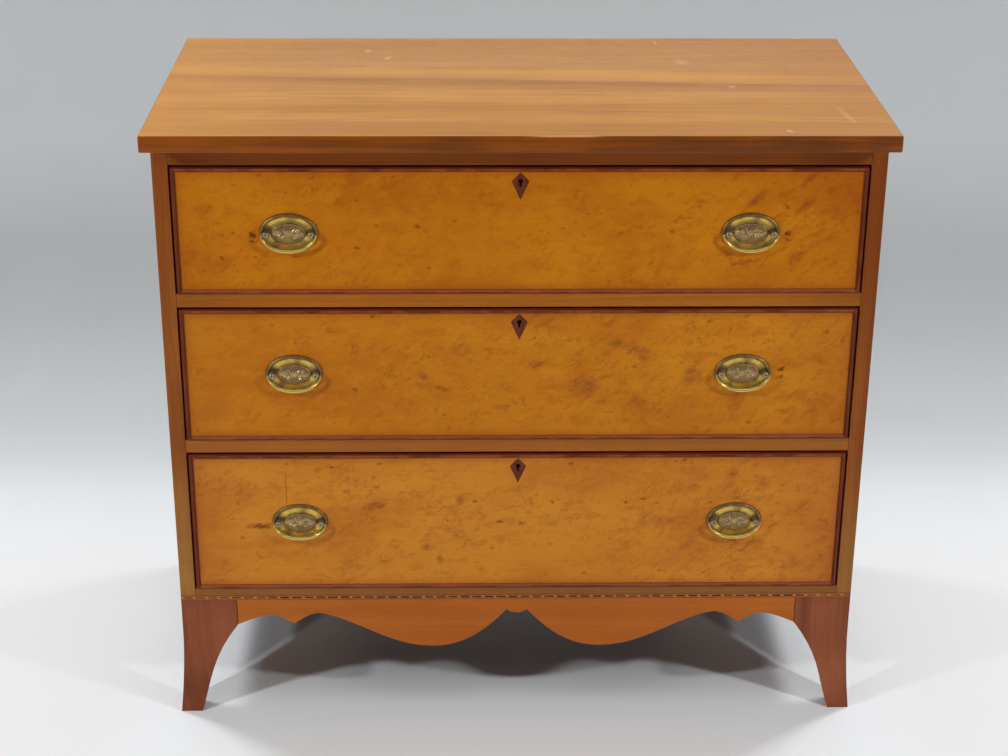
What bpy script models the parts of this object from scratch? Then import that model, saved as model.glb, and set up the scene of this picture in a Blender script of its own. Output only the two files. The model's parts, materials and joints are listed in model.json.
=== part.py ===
"""A chest of three graduated drawers with bail pulls, a scalloped apron and splayed bracket feet.

Metres, +Z up. The chest stands on z = 0 with its front towards -Y, and the origin lies on the floor
under the middle of the top board.
"""
import math

import bmesh
import bpy
from mathutils import Matrix, Vector

# Gap left between pieces that touch on the real chest.
FIT = 0.0003
# How far a cutter reaches past the face that it opens.
OVERCUT = 0.005
# Points closer than this are one point.
WELD = 1e-6
# Edges of round pieces that turn by more than this stay sharp.
SHARP_ANGLE = math.radians(40)
# Sides of a drilled hole, and rings of a quarter of a bent rod
HOLE_STEPS = 12
ROD_STEPS = 2

# Case
CASE_WIDTH = 1.000
CASE_DEPTH = 0.4705
SIDE_THICKNESS = 0.022
TOP_THICKNESS = 0.024
TOP_SIDE_OVERHANG = 0.009
TOP_FRONT_OVERHANG = 0.042
TOP_BACK_OVERHANG = 0.012
TOP_ARRIS = 0.002
TOP_ARRIS_STEPS = 2
TOP_RAIL_HEIGHT = 0.0295
TOP_RAIL_DEPTH = 0.060
DIVIDER_THICKNESS = 0.020
DIVIDER_DEPTH = 0.075
CASE_BOTTOM_THICKNESS = 0.020
TENON_LENGTH = 0.008
TENON_SETBACK = 0.015
BACK_THICKNESS = 0.011
BACK_REBATE = 0.012
BACK_LAP = 0.012
BACK_LOWER_HEIGHT = 0.360
RUNNER_WIDTH = 0.024

# Drawer openings, graduated from top to bottom
TOP_OPENING = 0.187
MIDDLE_OPENING = 0.205
BOTTOM_OPENING = 0.224

# Base: feet, apron and rope inlay
BASE_HEIGHT = 0.189
BASE_THICKNESS = 0.020
FOOT_REACH = 0.083
FOOT_JOINT_DROP = 0.042
TOE_WIDTH = 0.0318
FOOT_KNEE_INSET = 0.041
FOOT_SHIN_INSET = 0.0413
# Heights of the foot's knee and shin as shares of the height of its joint
FOOT_KNEE_LEVEL = 0.626
FOOT_SHIN_LEVEL = 0.34
FOOT_FLARE = 0.0088
FLARE_HEIGHT = 0.135
FLARE_POWER = 1.8
FLARE_STEPS = 8
REAR_BRACKET_REACH = 0.110
REAR_BRACKET_TOE = 0.034
REAR_BRACKET_DROP = 0.050
INLAY_HEIGHT = 0.0074
INLAY_DEPTH = 0.003

# Scalloped lower edge of the apron: drops below the top of the base, and stations along the width.
# The middle stations are measured from the centre, the outer ones from the joint with the foot.
APRON_CENTRE_DROP = 0.024
APRON_PEAK_DROP = 0.018
APRON_LOBE_DROP = 0.081
APRON_CREST_DROP = 0.023
APRON_POINT_DROP = 0.041
APRON_SHOULDER_DROP = 0.026
APRON_PEAK_OFFSET = 0.015
APRON_LOBE_OFFSET = 0.125
APRON_CREST_INSET = 0.121
APRON_POINT_INSET = 0.084
APRON_SHOULDER_INSET = 0.049
# Handles of the curves that end at those stations, as shares of the way along and of the way down
PEAK_HANDLES = ((0.4, 0), (0.75, 0.5))
LOBE_HANDLES = ((0.26, 0.52), (0.55, 1))
CREST_HANDLES = ((0.41, 0), (0.67, 0.85))
POINT_HANDLES = ((0.33, 0), (0.7, 0.55))
SHOULDER_HANDLES = ((0.3, 0.33), (0.6, 1))
JOINT_HANDLES = ((0.29, 0), (0.69, 0.6))
PEAK_STEPS = 3
LOBE_STEPS = 12
SCALLOP_STEPS = 6

# Drawers
DRAWER_SIDE_GAP = 0.0025
DRAWER_TOP_GAP = 0.0035
DRAWER_STOP_GAP = 0.0005
FRONT_THICKNESS = 0.022
DRAWER_SIDE_THICKNESS = 0.012
DRAWER_SIDE_DROP = 0.005
DRAWER_BACK_THICKNESS = 0.012
DRAWER_BACK_DROP = 0.004
TAIL_LENGTH = 0.012
TAIL_PITCH = 0.046
TAIL_SHARE = 0.66
TAIL_SLOPE = 1 / 7
FEWEST_TAILS = 3
GROOVE_HEIGHT = 0.006
GROOVE_RISE = 0.008
GROOVE_DEPTH = 0.006
DRAWER_BOTTOM_FIELD = 0.0045
DRAWER_BOTTOM_BEVEL = 0.040
DRAWER_BOTTOM_MARGIN = 0.003

# Cockbead round each drawer front
BEAD_THICKNESS = 0.006
BEAD_PROUD = 0.003
BEAD_SEAT = 0.008
BEAD_ROUND_STEPS = 4

# Escutcheon, lock and bolt
KEY_DROP = 0.0195
ESCUTCHEON_RISE = 0.0125
ESCUTCHEON_FALL = 0.0272
ESCUTCHEON_WIDTH = 0.0235
ESCUTCHEON_DEPTH = 0.003
KEYHOLE_RADIUS = 0.0034
KEYHOLE_SLOT_WIDTH = 0.003
KEYHOLE_SLOT_LENGTH = 0.0085
KEYHOLE_STEPS = 16
LOCK_WIDTH = 0.056
LOCK_HEIGHT = 0.042
LOCK_DEPTH = 0.0095
LOCK_WALL = 0.002
BOLT_WIDTH = 0.016
BOLT_THICKNESS = 0.0045
BOLT_LENGTH = 0.029
BOLT_THROW = 0.008
TALON_RADIUS = 0.0048
TALON_STEPS = 8
STRIKE_CLEARANCE = 0.001

# Bail pulls
PULL_INSET = 0.1575
TOP_PULL_RISE = -0.002
MIDDLE_PULL_RISE = 0.0035
BOTTOM_PULL_RISE = 0.0015
PLATE_WIDTH = 0.081
PLATE_HEIGHT = 0.057
PLATE_STEPS = 24
PLATE_METAL = 0.0009
RIM_RISE = 0.0030
COVE_RISE = 0.0014
MEDALLION_RISE = 0.0047
RIM_WIDTH = 0.0054
MEDALLION_WIDTH = 0.048
MEDALLION_HEIGHT = 0.028
# Where the stamping bends: shares of the medallion's half width and of the rim's width
MEDALLION_FACE = 0.65
MEDALLION_SHOULDER = 0.93
MEDALLION_HOLLOW = 0.88
RIM_SHOULDER = 0.1
RIM_FOOT = 0.4
RIM_CREST = 0.55
RIM_HOLLOW = 0.6
# How far the stamping falls from the crown to the face, the shoulder and the hollow behind it
FACE_FALL = 0.0004
SHOULDER_FALL = 0.0014
HOLLOW_FALL = 0.0022
COVE_FILLET = 0.0009
POST_SPACING = 0.062
POST_STEPS = 10
POST_HEAD_RADIUS = 0.0044
POST_HEAD_LENGTH = 0.0072
POST_NECK_RADIUS = 0.0030
# Shape of the head: shares of its radius and of half its length
HEAD_CROWN = 0.6
HEAD_DIMPLE = 0.8
HEAD_SHOULDER = 0.5
HEAD_WAIST = 0.4
POST_COLLAR_RADIUS = 0.0040
POST_COLLAR_HEIGHT = 0.0030
POST_COLLAR_DOME = 0.0005
SHANK_RADIUS = 0.0022
SHANK_END = 0.0025
NUT_RADIUS = 0.0052
NUT_HEIGHT = 0.0032
PIVOT_STANDOFF = 0.009
PIN_RADIUS = 0.0012
PIN_DEPTH = 0.0010
BAIL_DROP = 0.0245
BAIL_END_GAP = 0.0007
BAIL_END_RADIUS = 0.0014
BAIL_BEND = 0.0021
BAIL_GRIP_RADIUS = 0.0028
BAIL_STEPS = 14

# Levels and planes that follow from the sizes above
INNER_WIDTH = CASE_WIDTH - 2 * SIDE_THICKNESS
TOP_DEPTH = TOP_FRONT_OVERHANG + CASE_DEPTH + TOP_BACK_OVERHANG
FRONT_PLANE = TOP_FRONT_OVERHANG - TOP_DEPTH / 2
BACK_PLANE = CASE_DEPTH - BACK_THICKNESS
BOTTOM_OPENING_Z = BASE_HEIGHT + CASE_BOTTOM_THICKNESS
LOWER_DIVIDER_Z = BOTTOM_OPENING_Z + BOTTOM_OPENING
MIDDLE_OPENING_Z = LOWER_DIVIDER_Z + DIVIDER_THICKNESS
UPPER_DIVIDER_Z = MIDDLE_OPENING_Z + MIDDLE_OPENING
TOP_OPENING_Z = UPPER_DIVIDER_Z + DIVIDER_THICKNESS
TOP_RAIL_Z = TOP_OPENING_Z + TOP_OPENING
CASE_TOP_Z = TOP_RAIL_Z + TOP_RAIL_HEIGHT
FOOT_JOINT_Z = BASE_HEIGHT - FOOT_JOINT_DROP
DRAWER_WIDTH = INNER_WIDTH - 2 * DRAWER_SIDE_GAP
PULL_OFFSET = DRAWER_WIDTH / 2 - PULL_INSET
DRAWER_LENGTH = BACK_PLANE - DRAWER_STOP_GAP
GROOVE_TOP = GROOVE_RISE + GROOVE_HEIGHT
LOCK_FRONT = FRONT_THICKNESS - LOCK_DEPTH
BOLT_FRONT = LOCK_FRONT + LOCK_WALL + FIT
BAIL_HALF_WIDTH = POST_SPACING / 2 + POST_HEAD_RADIUS + BAIL_END_GAP + BAIL_END_RADIUS

# Colours read from the photo as display values, with roughness and metallic share
FINISHES = {
    "cherry_top": ((176, 108, 48), 0.32, 0.0),
    "cherry_case": ((130, 72, 30), 0.38, 0.0),
    "cherry_foot": ((125, 65, 45), 0.42, 0.0),
    "cherry_apron": ((160, 90, 40), 0.42, 0.0),
    "figured_maple": ((161, 92, 25), 0.34, 0.0),
    "dark_bead": ((91, 48, 31), 0.36, 0.0),
    "inlay_woods": ((120, 82, 45), 0.40, 0.0),
    "poplar": ((178, 146, 98), 0.70, 0.0),
    "aged_brass": ((150, 120, 60), 0.36, 1.0),
    "lock_brass": ((140, 112, 58), 0.45, 1.0),
    "lock_steel": ((120, 118, 114), 0.42, 1.0),
}

# Local (u, v, normal) axes of an outline that is extruded along each world axis
OUTLINE_FRAMES = {
    "X": Matrix(((0, 0, 1, 0), (1, 0, 0, 0), (0, 1, 0, 0), (0, 0, 0, 1))),
    "Y": Matrix(((1, 0, 0, 0), (0, 0, -1, 0), (0, 1, 0, 0), (0, 0, 0, 1))),
    "Z": Matrix.Identity(4),
}


# Scene and object helpers

def clear_scene():
    for thing in list(bpy.data.objects):
        bpy.data.objects.remove(thing, do_unlink=True)


def new_collection(name):
    collection = bpy.data.collections.new(name)
    bpy.context.scene.collection.children.link(collection)
    return collection


def linear(channel):
    """Turn a display value of 0 to 255 into scene-linear light."""
    value = channel / 255
    if value <= 0.04045:
        return value / 12.92
    return ((value + 0.055) / 1.055) ** 2.4


def make_material(name):
    colour, roughness, metallic = FINISHES[name]
    material = bpy.data.materials.new(name)
    material.use_nodes = True
    shader = material.node_tree.nodes["Principled BSDF"]
    shader.inputs["Base Color"].default_value = (*(linear(c) for c in colour), 1)
    shader.inputs["Roughness"].default_value = roughness
    shader.inputs["Metallic"].default_value = metallic
    return material


def add_empty(name, location, parent=None):
    empty = bpy.data.objects.new(name, None)
    PARTS.objects.link(empty)
    empty.location = location
    empty.parent = parent
    return empty


def add_part(name, mesh, finish, parent, at=(0, 0, 0)):
    """Add one piece of the chest, placed relative to its parent."""
    part = bpy.data.objects.new(name, mesh)
    mesh.name = name
    mesh.materials.append(MATERIALS[finish])
    PARTS.objects.link(part)
    part.parent = parent
    part.location = at
    return part


def add_cutter(name, mesh, parent, at=(0, 0, 0)):
    """Add a hidden solid that cuts or joins pieces."""
    cutter = bpy.data.objects.new(name, mesh)
    CUTTERS.objects.link(cutter)
    cutter.hide_render = True
    cutter.display_type = "WIRE"
    cutter.parent = parent
    cutter.location = at
    return cutter


def combine(part, other, operation="DIFFERENCE"):
    modifier = part.modifiers.new(f"{operation.lower()} {other.name}", "BOOLEAN")
    modifier.operation = operation
    modifier.object = other


# Mesh helpers

def finish_mesh(work, smooth=False):
    """Weld a bmesh, face it outwards and turn it into a mesh."""
    bmesh.ops.remove_doubles(work, verts=work.verts, dist=WELD)
    bmesh.ops.recalc_face_normals(work, faces=work.faces)
    mesh = bpy.data.meshes.new("mesh")
    work.to_mesh(mesh)
    work.free()
    if smooth:
        mesh.shade_smooth()
        mesh.set_sharp_from_angle(angle=SHARP_ANGLE)
    return mesh


def box(low, high):
    work = bmesh.new()
    bmesh.ops.create_cube(work, size=1)
    size = Vector(high) - Vector(low)
    middle = (Vector(high) + Vector(low)) / 2
    placed = Matrix.Translation(middle) @ Matrix.Diagonal((*size, 1))
    bmesh.ops.transform(work, matrix=placed, verts=work.verts)
    return finish_mesh(work)


def evaluated_mesh(data, modify=None):
    """Evaluate a curve or a mesh with modifiers and return the result as a bmesh."""
    source = bpy.data.objects.new("source", data)
    bpy.context.scene.collection.objects.link(source)
    if modify:
        modify(source)
    evaluated = source.evaluated_get(bpy.context.evaluated_depsgraph_get())
    mesh = bpy.data.meshes.new_from_object(evaluated)
    work = bmesh.new()
    work.from_mesh(mesh)
    bpy.data.objects.remove(source, do_unlink=True)
    bpy.data.meshes.remove(mesh)
    return work


def prism_work(outlines, axis, start, end):
    """Extrude closed outlines; the caps of a single outline become one face each."""
    curve = bpy.data.curves.new("outline", "CURVE")
    curve.dimensions = "2D"
    curve.fill_mode = "BOTH"
    curve.extrude = abs(end - start) / 2
    for outline in outlines:
        spline = curve.splines.new("POLY")
        spline.points.add(len(outline) - 1)
        spline.use_cyclic_u = True
        for point, (u, v) in zip(spline.points, outline):
            point.co = (u, v, 0, 1)
    work = evaluated_mesh(curve)
    bpy.data.curves.remove(curve)
    bmesh.ops.remove_doubles(work, verts=work.verts, dist=WELD)
    if len(outlines) == 1:
        for upper in (True, False):
            cap = [face for face in work.faces if all((v.co.z > 0) == upper for v in face.verts)]
            bmesh.ops.dissolve_faces(work, faces=cap)
    along = Vector(float(axis == name) for name in OUTLINE_FRAMES)
    placed = Matrix.Translation(along * (start + end) / 2) @ OUTLINE_FRAMES[axis]
    bmesh.ops.transform(work, matrix=placed, verts=work.verts)
    return work


def prism(outlines, axis, start, end):
    """Extrude closed outlines along a world axis; an outline inside another is a hole."""
    return finish_mesh(prism_work(outlines, axis, start, end))


def turned(profile, steps):
    """Revolve a (radius, height) profile, then turn it so that its height points out of the front."""
    data = bpy.data.meshes.new("profile")
    points = [(radius, 0, height) for radius, height in profile]
    edges = [(i, i + 1) for i in range(len(points) - 1)]
    if profile[0][0] > 0:
        edges.append((len(points) - 1, 0))
    data.from_pydata(points, edges, [])

    def add_screw(source):
        screw = source.modifiers.new("turn", "SCREW")
        screw.steps = steps
        screw.render_steps = steps
        screw.use_merge_vertices = True
        screw.merge_threshold = WELD

    work = evaluated_mesh(data, add_screw)
    bmesh.ops.rotate(work, verts=work.verts, matrix=Matrix.Rotation(math.pi / 2, 3, "X"))
    bpy.data.meshes.remove(data)
    return work


def cylinder(axis, radius, start, end):
    turns = [2 * math.pi * i / HOLE_STEPS for i in range(HOLE_STEPS)]
    circle = [(radius * math.cos(turn), radius * math.sin(turn)) for turn in turns]
    return prism([circle], axis, start, end)


def tube(path, radii):
    """Sweep a round section of changing radius along a path, with closed ends."""
    curve = bpy.data.curves.new("path", "CURVE")
    curve.dimensions = "3D"
    curve.bevel_depth = 1
    curve.bevel_resolution = ROD_STEPS
    curve.use_fill_caps = True
    spline = curve.splines.new("POLY")
    spline.points.add(len(path) - 1)
    for point, place, radius in zip(spline.points, path, radii):
        point.co = (*place, 1)
        point.radius = radius
    work = evaluated_mesh(curve)
    bpy.data.curves.remove(curve)
    return finish_mesh(work, smooth=True)


def mirrored(mesh):
    """Return the left-hand copy of a right-hand mesh."""
    copy = mesh.copy()
    copy.transform(Matrix.Scale(-1, 4, (1, 0, 0)))
    copy.flip_normals()
    return copy


def handed(mesh, hand):
    """Return a right-hand mesh as it is, or its left-hand copy."""
    return mirrored(mesh) if hand == "left" else mesh


def bezier(start, pull, push, end, steps):
    """Points of a cubic curve after its start, up to and with its end."""
    points = []
    for i in range(1, steps + 1):
        t = i / steps
        weights = ((1 - t) ** 3, 3 * t * (1 - t) ** 2, 3 * t**2 * (1 - t), t**3)
        places = (start, pull, push, end)
        points.append(tuple(sum(w * p[k] for w, p in zip(weights, places)) for k in (0, 1)))
    return points


def rectangle(low_u, low_v, high_u, high_v):
    return [(low_u, low_v), (high_u, low_v), (high_u, high_v), (low_u, high_v)]


# Case

def rail_outline(depth):
    """Plan of a rail between the sides, with a stub tenon at each end set back from the front."""
    shoulder = INNER_WIDTH / 2 - FIT
    tip = INNER_WIDTH / 2 + TENON_LENGTH
    right = [(shoulder, 0), (shoulder, TENON_SETBACK), (tip, TENON_SETBACK), (tip, depth)]
    left = [(-x, y) for x, y in reversed(right)]
    return right + left


def add_rail(name, depth, low, high, case):
    return add_part(name, prism([rail_outline(depth)], "Z", low, high), "cherry_case", case)


def side_housings():
    """Name and shape of each housing in the right side, for a rail or for the case bottom."""
    inner = INNER_WIDTH / 2 - OVERCUT
    outer = INNER_WIDTH / 2 + TENON_LENGTH + FIT
    extents = {
        "top rail": (TOP_RAIL_DEPTH, TOP_RAIL_Z, CASE_TOP_Z + OVERCUT),
        "upper divider": (DIVIDER_DEPTH, UPPER_DIVIDER_Z, TOP_OPENING_Z),
        "lower divider": (DIVIDER_DEPTH, LOWER_DIVIDER_Z, MIDDLE_OPENING_Z),
        "case bottom": (BACK_PLANE, BASE_HEIGHT - OVERCUT, BOTTOM_OPENING_Z),
    }
    return {
        label: box((inner, TENON_SETBACK - FIT, low - FIT), (outer, back + FIT, high + FIT))
        for label, (back, low, high) in extents.items()
    }


def add_case_sides(case, inlay_groove):
    low = (INNER_WIDTH / 2, 0, BASE_HEIGHT)
    high = (CASE_WIDTH / 2, CASE_DEPTH, CASE_TOP_Z)
    right = box(low, high)
    rebate = box(
        (INNER_WIDTH / 2 - OVERCUT, BACK_PLANE - FIT, BASE_HEIGHT - OVERCUT),
        (INNER_WIDTH / 2 + BACK_REBATE, CASE_DEPTH + OVERCUT, CASE_TOP_Z + OVERCUT),
    )
    housings = side_housings()
    for hand in ("left", "right"):
        side = add_part(f"side_{hand}", handed(right, hand), "cherry_case", case)
        combine(side, add_cutter(f"back rebate {hand}", handed(rebate, hand), case))
        for label, mesh in housings.items():
            combine(side, add_cutter(f"{label} housing {hand}", handed(mesh, hand), case))
        combine(side, inlay_groove)


def add_back_boards(case):
    """Two horizontal boards in the rebates of the sides, lapped over each other."""
    half = INNER_WIDTH / 2 + BACK_REBATE - FIT
    middle = BACK_PLANE + BACK_THICKNESS / 2
    lap = BASE_HEIGHT + BACK_LOWER_HEIGHT
    lower = [
        (BACK_PLANE, BASE_HEIGHT),
        (CASE_DEPTH, BASE_HEIGHT),
        (CASE_DEPTH, lap),
        (middle - FIT, lap),
        (middle - FIT, lap + BACK_LAP),
        (BACK_PLANE, lap + BACK_LAP),
    ]
    upper = [
        (middle, lap + FIT),
        (CASE_DEPTH, lap + FIT),
        (CASE_DEPTH, CASE_TOP_Z),
        (BACK_PLANE, CASE_TOP_Z),
        (BACK_PLANE, lap + BACK_LAP + FIT),
        (middle, lap + BACK_LAP + FIT),
    ]
    add_part("back_board_lower", prism([lower], "X", -half, half), "poplar", case)
    add_part("back_board_upper", prism([upper], "X", -half, half), "poplar", case)


def add_runners(case):
    """Strips on the sides, level with each divider, that carry the two upper drawers."""
    outer = INNER_WIDTH / 2 - FIT
    for level, low in (("upper", UPPER_DIVIDER_Z), ("lower", LOWER_DIVIDER_Z)):
        mesh = box(
            (outer - RUNNER_WIDTH, DIVIDER_DEPTH + FIT, low),
            (outer, BACK_PLANE - FIT, low + DIVIDER_THICKNESS),
        )
        add_part(f"runner_{level}_left", mirrored(mesh), "poplar", case)
        add_part(f"runner_{level}_right", mesh, "poplar", case)


def add_top_board(case):
    work = bmesh.new()
    bmesh.ops.create_cube(work, size=1)
    size = (CASE_WIDTH + 2 * TOP_SIDE_OVERHANG, TOP_DEPTH, TOP_THICKNESS - FIT)
    bmesh.ops.scale(work, vec=size, verts=work.verts)
    bmesh.ops.bevel(
        work, geom=work.edges, offset=TOP_ARRIS, segments=TOP_ARRIS_STEPS, profile=0.5, affect="EDGES"
    )
    middle = (0, TOP_DEPTH / 2 - TOP_FRONT_OVERHANG, CASE_TOP_Z + (TOP_THICKNESS + FIT) / 2)
    add_part("top_board", finish_mesh(work), "cherry_top", case, middle)


def add_rope_inlay(case):
    """The inlay strip, and the groove for it along the lower front edge of the case."""
    half = CASE_WIDTH / 2
    strip = box((-half, 0, BASE_HEIGHT), (half, INLAY_DEPTH, BASE_HEIGHT + INLAY_HEIGHT))
    add_part("rope_inlay", strip, "inlay_woods", case)
    groove = box(
        (-half - OVERCUT, -OVERCUT, BASE_HEIGHT - OVERCUT),
        (half + OVERCUT, INLAY_DEPTH + FIT, BASE_HEIGHT + INLAY_HEIGHT + FIT),
    )
    return add_cutter("inlay groove", groove, case)


def add_case(case):
    inlay_groove = add_rope_inlay(case)
    add_case_sides(case, inlay_groove)
    rails = {
        "top": add_rail("top_rail", TOP_RAIL_DEPTH, TOP_RAIL_Z, CASE_TOP_Z, case),
        "middle": add_rail("divider_upper", DIVIDER_DEPTH, UPPER_DIVIDER_Z, TOP_OPENING_Z, case),
        "bottom": add_rail("divider_lower", DIVIDER_DEPTH, LOWER_DIVIDER_Z, MIDDLE_OPENING_Z, case),
    }
    bottom = add_rail("case_bottom", BACK_PLANE - FIT, BASE_HEIGHT, BOTTOM_OPENING_Z, case)
    combine(bottom, inlay_groove)
    add_back_boards(case)
    add_runners(case)
    add_top_board(case)
    return rails


# Base

def flare(height):
    """How far the foot has swept outwards at a height above the floor."""
    return FOOT_FLARE * max(0, 1 - height / FLARE_HEIGHT) ** FLARE_POWER


def splayed(work, shift):
    """Slice a foot across its height and sweep it outwards; shift gives the direction at a point."""
    for i in range(1, FLARE_STEPS + 1):
        everything = [*work.verts, *work.edges, *work.faces]
        level = FLARE_HEIGHT * i / FLARE_STEPS
        bmesh.ops.bisect_plane(work, geom=everything, plane_co=(0, 0, level), plane_no=(0, 0, 1), dist=WELD)
    for vertex in work.verts:
        away = flare(vertex.co.z)
        across, forward = shift(vertex.co)
        vertex.co += Vector((across * away, forward * away, 0))
    return finish_mesh(work)


def mitre(work, keep):
    """Cut the front right corner at 45 degrees and keep the front piece (1) or the side piece (-1)."""
    normal = Vector((-1, -1, 0)).normalized() * keep
    corner = Vector((CASE_WIDTH / 2, 0, 0)) + normal * FIT / 2
    everything = [*work.verts, *work.edges, *work.faces]
    bmesh.ops.bisect_plane(
        work, geom=everything, plane_co=corner, plane_no=normal, clear_inner=True, dist=WELD
    )
    bmesh.ops.holes_fill(work, edges=[edge for edge in work.edges if edge.is_boundary])


def foot_edge(joint, toe):
    """Inner edge of a foot, from its joint with the board above down to the toe, as insets."""
    drop = joint[1]
    knee = (FOOT_KNEE_INSET, drop * FOOT_KNEE_LEVEL)
    shin = (FOOT_SHIN_INSET, drop * FOOT_SHIN_LEVEL)
    return [joint, *bezier(joint, knee, shin, (toe, 0), FLARE_STEPS)]


def front_foot():
    edge = foot_edge((FOOT_REACH, FOOT_JOINT_Z), TOE_WIDTH)
    top = BASE_HEIGHT - FIT
    outline = [(0, top), (FOOT_REACH, top), *edge, (0, 0)]
    work = prism_work([[(CASE_WIDTH / 2 - inset, z) for inset, z in outline]], "Y", 0, BASE_THICKNESS)
    mitre(work, 1)
    return splayed(work, lambda place: (1, -1))


def base_side():
    """Side board of the base: the side of the front foot, the skirt and the rear foot."""
    front = foot_edge((FOOT_REACH, FOOT_JOINT_Z), TOE_WIDTH)
    rear = [(CASE_DEPTH - inset, z) for inset, z in reversed(front)]
    top = BASE_HEIGHT - FIT
    outline = [(0, top), (0, 0), *reversed(front), *reversed(rear), (CASE_DEPTH, 0), (CASE_DEPTH, top)]
    work = prism_work([outline], "X", CASE_WIDTH / 2 - BASE_THICKNESS, CASE_WIDTH / 2)
    mitre(work, -1)
    return splayed(work, lambda place: (1, -1 if place.y < CASE_DEPTH / 2 else 0))


def rear_foot():
    """Bracket across the back, butted against the inside of the side board."""
    outer = CASE_WIDTH / 2 - BASE_THICKNESS - FIT
    joint = (REAR_BRACKET_REACH, BASE_HEIGHT - REAR_BRACKET_DROP)
    top = BASE_HEIGHT - FIT
    outline = [(0, top), (REAR_BRACKET_REACH, top), *foot_edge(joint, REAR_BRACKET_TOE), (0, 0)]
    shape = [(outer - inset, z) for inset, z in outline]
    work = prism_work([shape], "Y", CASE_DEPTH - BASE_THICKNESS, CASE_DEPTH)
    return splayed(work, lambda place: (1, 0))


def sweep(start, end, handles, steps):
    """Curve between two stations, with its handles given as shares of the way between them."""
    places = [
        (start[0] + along * (end[0] - start[0]), start[1] + down * (end[1] - start[1]))
        for along, down in handles
    ]
    return bezier(start, *places, end, steps)


def apron_edge():
    """Right half of the apron's lower edge, from the centre out to the joint with the foot."""
    end = CASE_WIDTH / 2 - FOOT_REACH - FIT
    centre = (0, BASE_HEIGHT - APRON_CENTRE_DROP)
    peak = (APRON_PEAK_OFFSET, BASE_HEIGHT - APRON_PEAK_DROP)
    lobe = (APRON_LOBE_OFFSET, BASE_HEIGHT - APRON_LOBE_DROP)
    crest = (end - APRON_CREST_INSET, BASE_HEIGHT - APRON_CREST_DROP)
    point = (end - APRON_POINT_INSET, BASE_HEIGHT - APRON_POINT_DROP)
    shoulder = (end - APRON_SHOULDER_INSET, BASE_HEIGHT - APRON_SHOULDER_DROP)
    joint = (end, FOOT_JOINT_Z)
    return [
        centre,
        *sweep(centre, peak, PEAK_HANDLES, PEAK_STEPS),
        *sweep(peak, lobe, LOBE_HANDLES, LOBE_STEPS),
        *sweep(lobe, crest, CREST_HANDLES, LOBE_STEPS),
        *sweep(crest, point, POINT_HANDLES, SCALLOP_STEPS),
        *sweep(point, shoulder, SHOULDER_HANDLES, SCALLOP_STEPS),
        *sweep(shoulder, joint, JOINT_HANDLES, SCALLOP_STEPS),
    ]


def add_base(case):
    edge = apron_edge()
    top = BASE_HEIGHT - FIT
    left = [(-x, z) for x, z in reversed(edge[1:])]
    outline = [(-edge[-1][0], top), *left, *edge, (edge[-1][0], top)]
    add_part("apron", prism([outline], "Y", 0, BASE_THICKNESS), "cherry_apron", case)
    pieces = {
        "front_foot": (front_foot(), "cherry_foot"),
        "base_side": (base_side(), "cherry_case"),
        "rear_foot": (rear_foot(), "poplar"),
    }
    for name, (mesh, finish) in pieces.items():
        add_part(f"{name}_left", mirrored(mesh), finish, case)
        add_part(f"{name}_right", mesh, finish, case)


# Drawer boxes

def tail_centres(low, high):
    """Heights of the dovetails spread evenly between two levels."""
    count = max(FEWEST_TAILS, round((high - low) / TAIL_PITCH))
    pitch = (high - low) / count
    return [low + pitch * (i + 0.5) for i in range(count)], pitch


def tail_halves(pitch, length, slack):
    """Half widths of a dovetail at its tip and at its root."""
    tip = pitch * TAIL_SHARE / 2
    return tip - slack, tip - length * TAIL_SLOPE - slack


def drawer_side_outline(height, back_top):
    """Side of a drawer, lying along Y, with tails for the front and for the back."""
    shoulder = FRONT_THICKNESS + FIT
    tip = FRONT_THICKNESS - TAIL_LENGTH + FIT
    points = [(shoulder, height)]
    centres, pitch = tail_centres(0, height)
    wide, narrow = tail_halves(pitch, TAIL_LENGTH, FIT)
    for middle in reversed(centres):
        points += [
            (shoulder, middle + narrow),
            (tip, middle + wide),
            (tip, middle - wide),
            (shoulder, middle - narrow),
        ]
    rear = DRAWER_LENGTH
    rear_shoulder = DRAWER_LENGTH - DRAWER_BACK_THICKNESS - FIT
    points += [(shoulder, 0), (rear, 0), (rear, GROOVE_TOP), (rear_shoulder, GROOVE_TOP)]
    centres, pitch = tail_centres(GROOVE_TOP, back_top)
    wide, narrow = tail_halves(pitch, DRAWER_BACK_THICKNESS, FIT)
    for middle in centres:
        points += [
            (rear_shoulder, middle - narrow),
            (rear, middle - wide),
            (rear, middle + wide),
            (rear_shoulder, middle + narrow),
        ]
    return points + [(rear_shoulder, height)]


def socket_outlines(low, high, root, tip):
    """Sockets for the tails between two levels, running out past the face at their root."""
    centres, pitch = tail_centres(low, high)
    wide, narrow = tail_halves(pitch, abs(tip - root), 0)
    mouth = root + math.copysign(OVERCUT, root - tip)
    opening = narrow - OVERCUT * TAIL_SLOPE
    return [
        [(tip, middle + wide), (tip, middle - wide), (mouth, middle - opening), (mouth, middle + opening)]
        for middle in centres
    ]


def cut_sockets(board, outlines, drawer):
    inner = DRAWER_WIDTH / 2 - DRAWER_SIDE_THICKNESS - FIT
    mesh = prism(outlines, "X", inner, DRAWER_WIDTH / 2 + OVERCUT)
    combine(board, add_cutter(f"{board.name} sockets right", mesh, drawer))
    combine(board, add_cutter(f"{board.name} sockets left", mirrored(mesh), drawer))


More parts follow.
